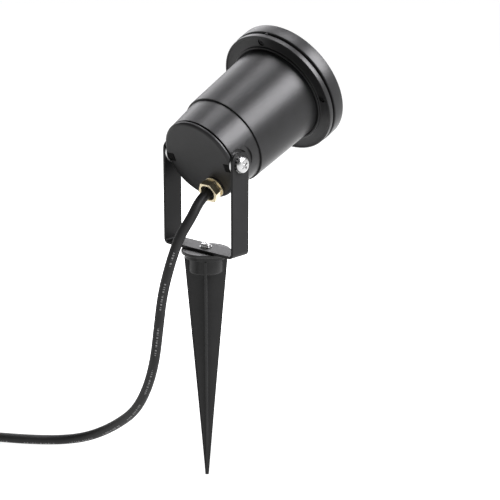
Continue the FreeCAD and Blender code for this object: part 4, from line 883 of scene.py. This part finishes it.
def lamp_pieces():
    """The reflector lamp behind the glass: a faceted mirror bowl in a plain shell."""
    back = 28.0
    rows = 9
    facets = 30
    shape = bmesh.new()

    def ring_of(radius, level, start):
        turns = [start + 2 * math.pi * step / facets for step in range(facets)]
        return [shape.verts.new(Vector((radius * math.cos(turn), radius * math.sin(turn), level)) * MM)
                for turn in turns]

    rings = []
    for row in range(rows + 1):
        share = row / rows
        radius = 10.2 + (22.9 - 10.2) * share ** 0.72
        level = back + 10.8 + (47.6 - 10.8) * share
        rings.append(ring_of(radius, level, math.pi / facets * (row % 2)))
    for row in range(rows):
        for step in range(facets):
            after = (step + 1) % facets
            low, high = rings[row], rings[row + 1]
            if row % 2 == 0:
                shape.faces.new((low[step], high[step], low[after]))
                shape.faces.new((low[after], high[step], high[after]))
            else:
                shape.faces.new((low[step], high[after], low[after]))
                shape.faces.new((low[step], high[step], high[after]))
    floor = shape.verts.new((0, 0, (back + 10.8) * MM))
    for step in range(facets):
        shape.faces.new((rings[0][step], rings[0][(step + 1) % facets], floor))
    outside = [(23.8, back + 47.6), (23.8, back + 50), (25, back + 50), (25, back + 46), (22.6, back + 34),
               (17.5, back + 20), (12.2, back + 10), (12.2, back)]
    before = rings[-1]
    for radius, level in outside:
        ring = ring_of(radius, level, math.pi / facets)
        for step in range(facets):
            after = (step + 1) % facets
            shape.faces.new((before[step], before[after], ring[after], ring[step]))
        before = ring
    shape.faces.new(before)
    bmesh.ops.recalc_face_normals(shape, faces=shape.faces)
    mesh = bpy.data.meshes.new("reflector")
    shape.to_mesh(mesh)
    shape.free()
    add_piece("reflector_bowl", stood(mesh, HEAD), reflector_metal, "head", "lamp_shell", "lamp_body")
    soft_piece("window", "front_glass", 0.4, window_glass, "head", "clear_glass")
    soft_piece("holder_puck", "lamp_holder", 0.6, holder_ceramic, "head", "ceramic")


# ---------------------------------------------------------------- put it together

route = lead_route()
lead_line = line_points(smooth_line("lead route", route))
lead = add_piece("lead", tube_mesh("lead", lead_line, CORD_DIAMETER / 2), lead_rubber, None, "cord_rubber",
                 "power_cord", "cord_coil", "cord_tail")
on_the_lead = plug_pieces()
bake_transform(lead)

housing_pieces()
pivot_pieces()
bracket_pieces()
spike_pieces()
gland_pieces()
lamp_pieces()

# ---------------------------------------------------------------- camera, floor and light

CAMERA_PLACE = Vector((-0.95098, 1.01647, 0.40438))
CAMERA_TURN = math.radians(221.748)
CAMERA_LIFT = math.radians(16.014)
CAMERA_ROLL = math.radians(0.053)
FOCAL_SHARE = 1953.54 / 500    # focal length over sensor width
SENSOR_WIDTH = 36
FLOOR_Z = -0.1735
FLOOR_REACH = 40.0
FLOOR_GLOW = 0.97
POOL_PLACE = (0.36, -0.40)
POOL_GLOW = 2.2
WALL_LEVEL = 0.35
CEILING_LEVEL = 0.06
STUDIO_TINT = (0.98, 0.97, 1.0)
LIT_MIDDLE = Vector((0, 0, 0.10))


def photo_camera():
    """A long lens behind and above the lamp, where the photograph was taken."""
    back = Vector((math.sin(CAMERA_TURN) * math.cos(CAMERA_LIFT),
                   -math.cos(CAMERA_TURN) * math.cos(CAMERA_LIFT), math.sin(CAMERA_LIFT)))
    right = Vector((math.cos(CAMERA_TURN), math.sin(CAMERA_TURN), 0))
    up = back.cross(right)
    side = right * math.cos(CAMERA_ROLL) + up * math.sin(CAMERA_ROLL)
    top = up * math.cos(CAMERA_ROLL) - right * math.sin(CAMERA_ROLL)
    data = bpy.data.cameras.new("photo camera")
    data.sensor_width = SENSOR_WIDTH
    data.lens = FOCAL_SHARE * SENSOR_WIDTH
    data.clip_end = 20
    camera = bpy.data.objects.new("photo camera", data)
    camera.matrix_world = Matrix((
        (side.x, top.x, back.x, CAMERA_PLACE.x), (side.y, top.y, back.y, CAMERA_PLACE.y),
        (side.z, top.z, back.z, CAMERA_PLACE.z), (0, 0, 0, 1)))
    bpy.context.scene.collection.objects.link(camera)
    bpy.context.scene.camera = camera
    return side, top, back


def studio_floor():
    """A white floor that glows a little, and more in a pool that the coat reflects."""
    mesh = bpy.data.meshes.new("studio floor")
    corners = ((-1, -1), (1, -1), (1, 1), (-1, 1))
    mesh.from_pydata([(x * FLOOR_REACH, y * FLOOR_REACH, FLOOR_Z) for x, y in corners], [], [(0, 1, 2, 3)])
    floor = bpy.data.objects.new("studio floor", mesh)
    bpy.context.scene.collection.objects.link(floor)
    finish = Finish("pale studio floor")
    finish.gloss(3, 2, 0.75, 0.85)
    pool = finish.node("ShaderNodeVectorMath")
    pool.operation = "DISTANCE"
    pool.inputs[1].default_value = (*POOL_PLACE, FLOOR_Z)
    finish.link(finish.place, pool.inputs[0])
    glow = finish.span(pool.outputs["Value"], POOL_GLOW, FLOOR_GLOW, 0.15, 0.5)
    finish.link(glow, finish.shader.inputs["Emission Strength"])
    finish.set(Base_Color=(0.1, 0.1, 0.1, 1), Emission_Color=(1, 1, 1, 1))
    mesh.materials.append(finish.material)


def studio_world():
    """Pale walls near the floor and a dark ceiling, which give the coat its contrast."""
    world = bpy.data.worlds.new("studio")
    bpy.context.scene.world = world
    world.use_nodes = True
    tree = world.node_tree
    way = tree.nodes.new("ShaderNodeTexCoord").outputs["Generated"]
    parts = tree.nodes.new("ShaderNodeSeparateXYZ")
    ramp = tree.nodes.new("ShaderNodeValToRGB")
    stops = ramp.color_ramp.elements
    stops[0].position, stops[0].color = 0.04, grey(1.0)
    stops[1].position, stops[1].color = 0.4, grey(CEILING_LEVEL)
    stops.new(0.1).color = grey(WALL_LEVEL)
    tree.links.new(way, parts.inputs[0])
    tree.links.new(parts.outputs["Z"], ramp.inputs["Fac"])
    tree.links.new(ramp.outputs["Color"], tree.nodes["Background"].inputs["Color"])


def soft_box(name, way, distance, wide, high, radiance):
    """A soft box seen from the lamp in a direction given as (right, up, towards the camera)."""
    data = bpy.data.lights.new(name, "AREA")
    data.shape = "RECTANGLE"
    data.size = wide
    data.size_y = high
    data.energy = radiance * math.pi * wide * high
    data.color = STUDIO_TINT
    light = bpy.data.objects.new(name, data)
    side, top, back = seen_from
    light.location = LIT_MIDDLE + (side * way[0] + top * way[1] + back * way[2]).normalized() * distance
    light.rotation_euler = (LIT_MIDDLE - light.location).to_track_quat("-Z", "Y").to_euler()
    bpy.context.scene.collection.objects.link(light)


seen_from = photo_camera()
studio_floor()
studio_world()
soft_box("key box", (0.75, 0.53, 0.39), 1.3, 0.74, 0.74, 24.0)
soft_box("top box", (0.03, 1.0, 0.1), 1.3, 0.6, 0.6, 9.0)
soft_box("rim box", (-0.27, 0.86, -0.42), 1.3, 0.6, 0.6, 2.2)
soft_box("back box", (-0.2, 0.6, -0.75), 1.6, 1.3, 0.7, 3.4)
bpy.context.scene.view_settings.view_transform = "Standard"
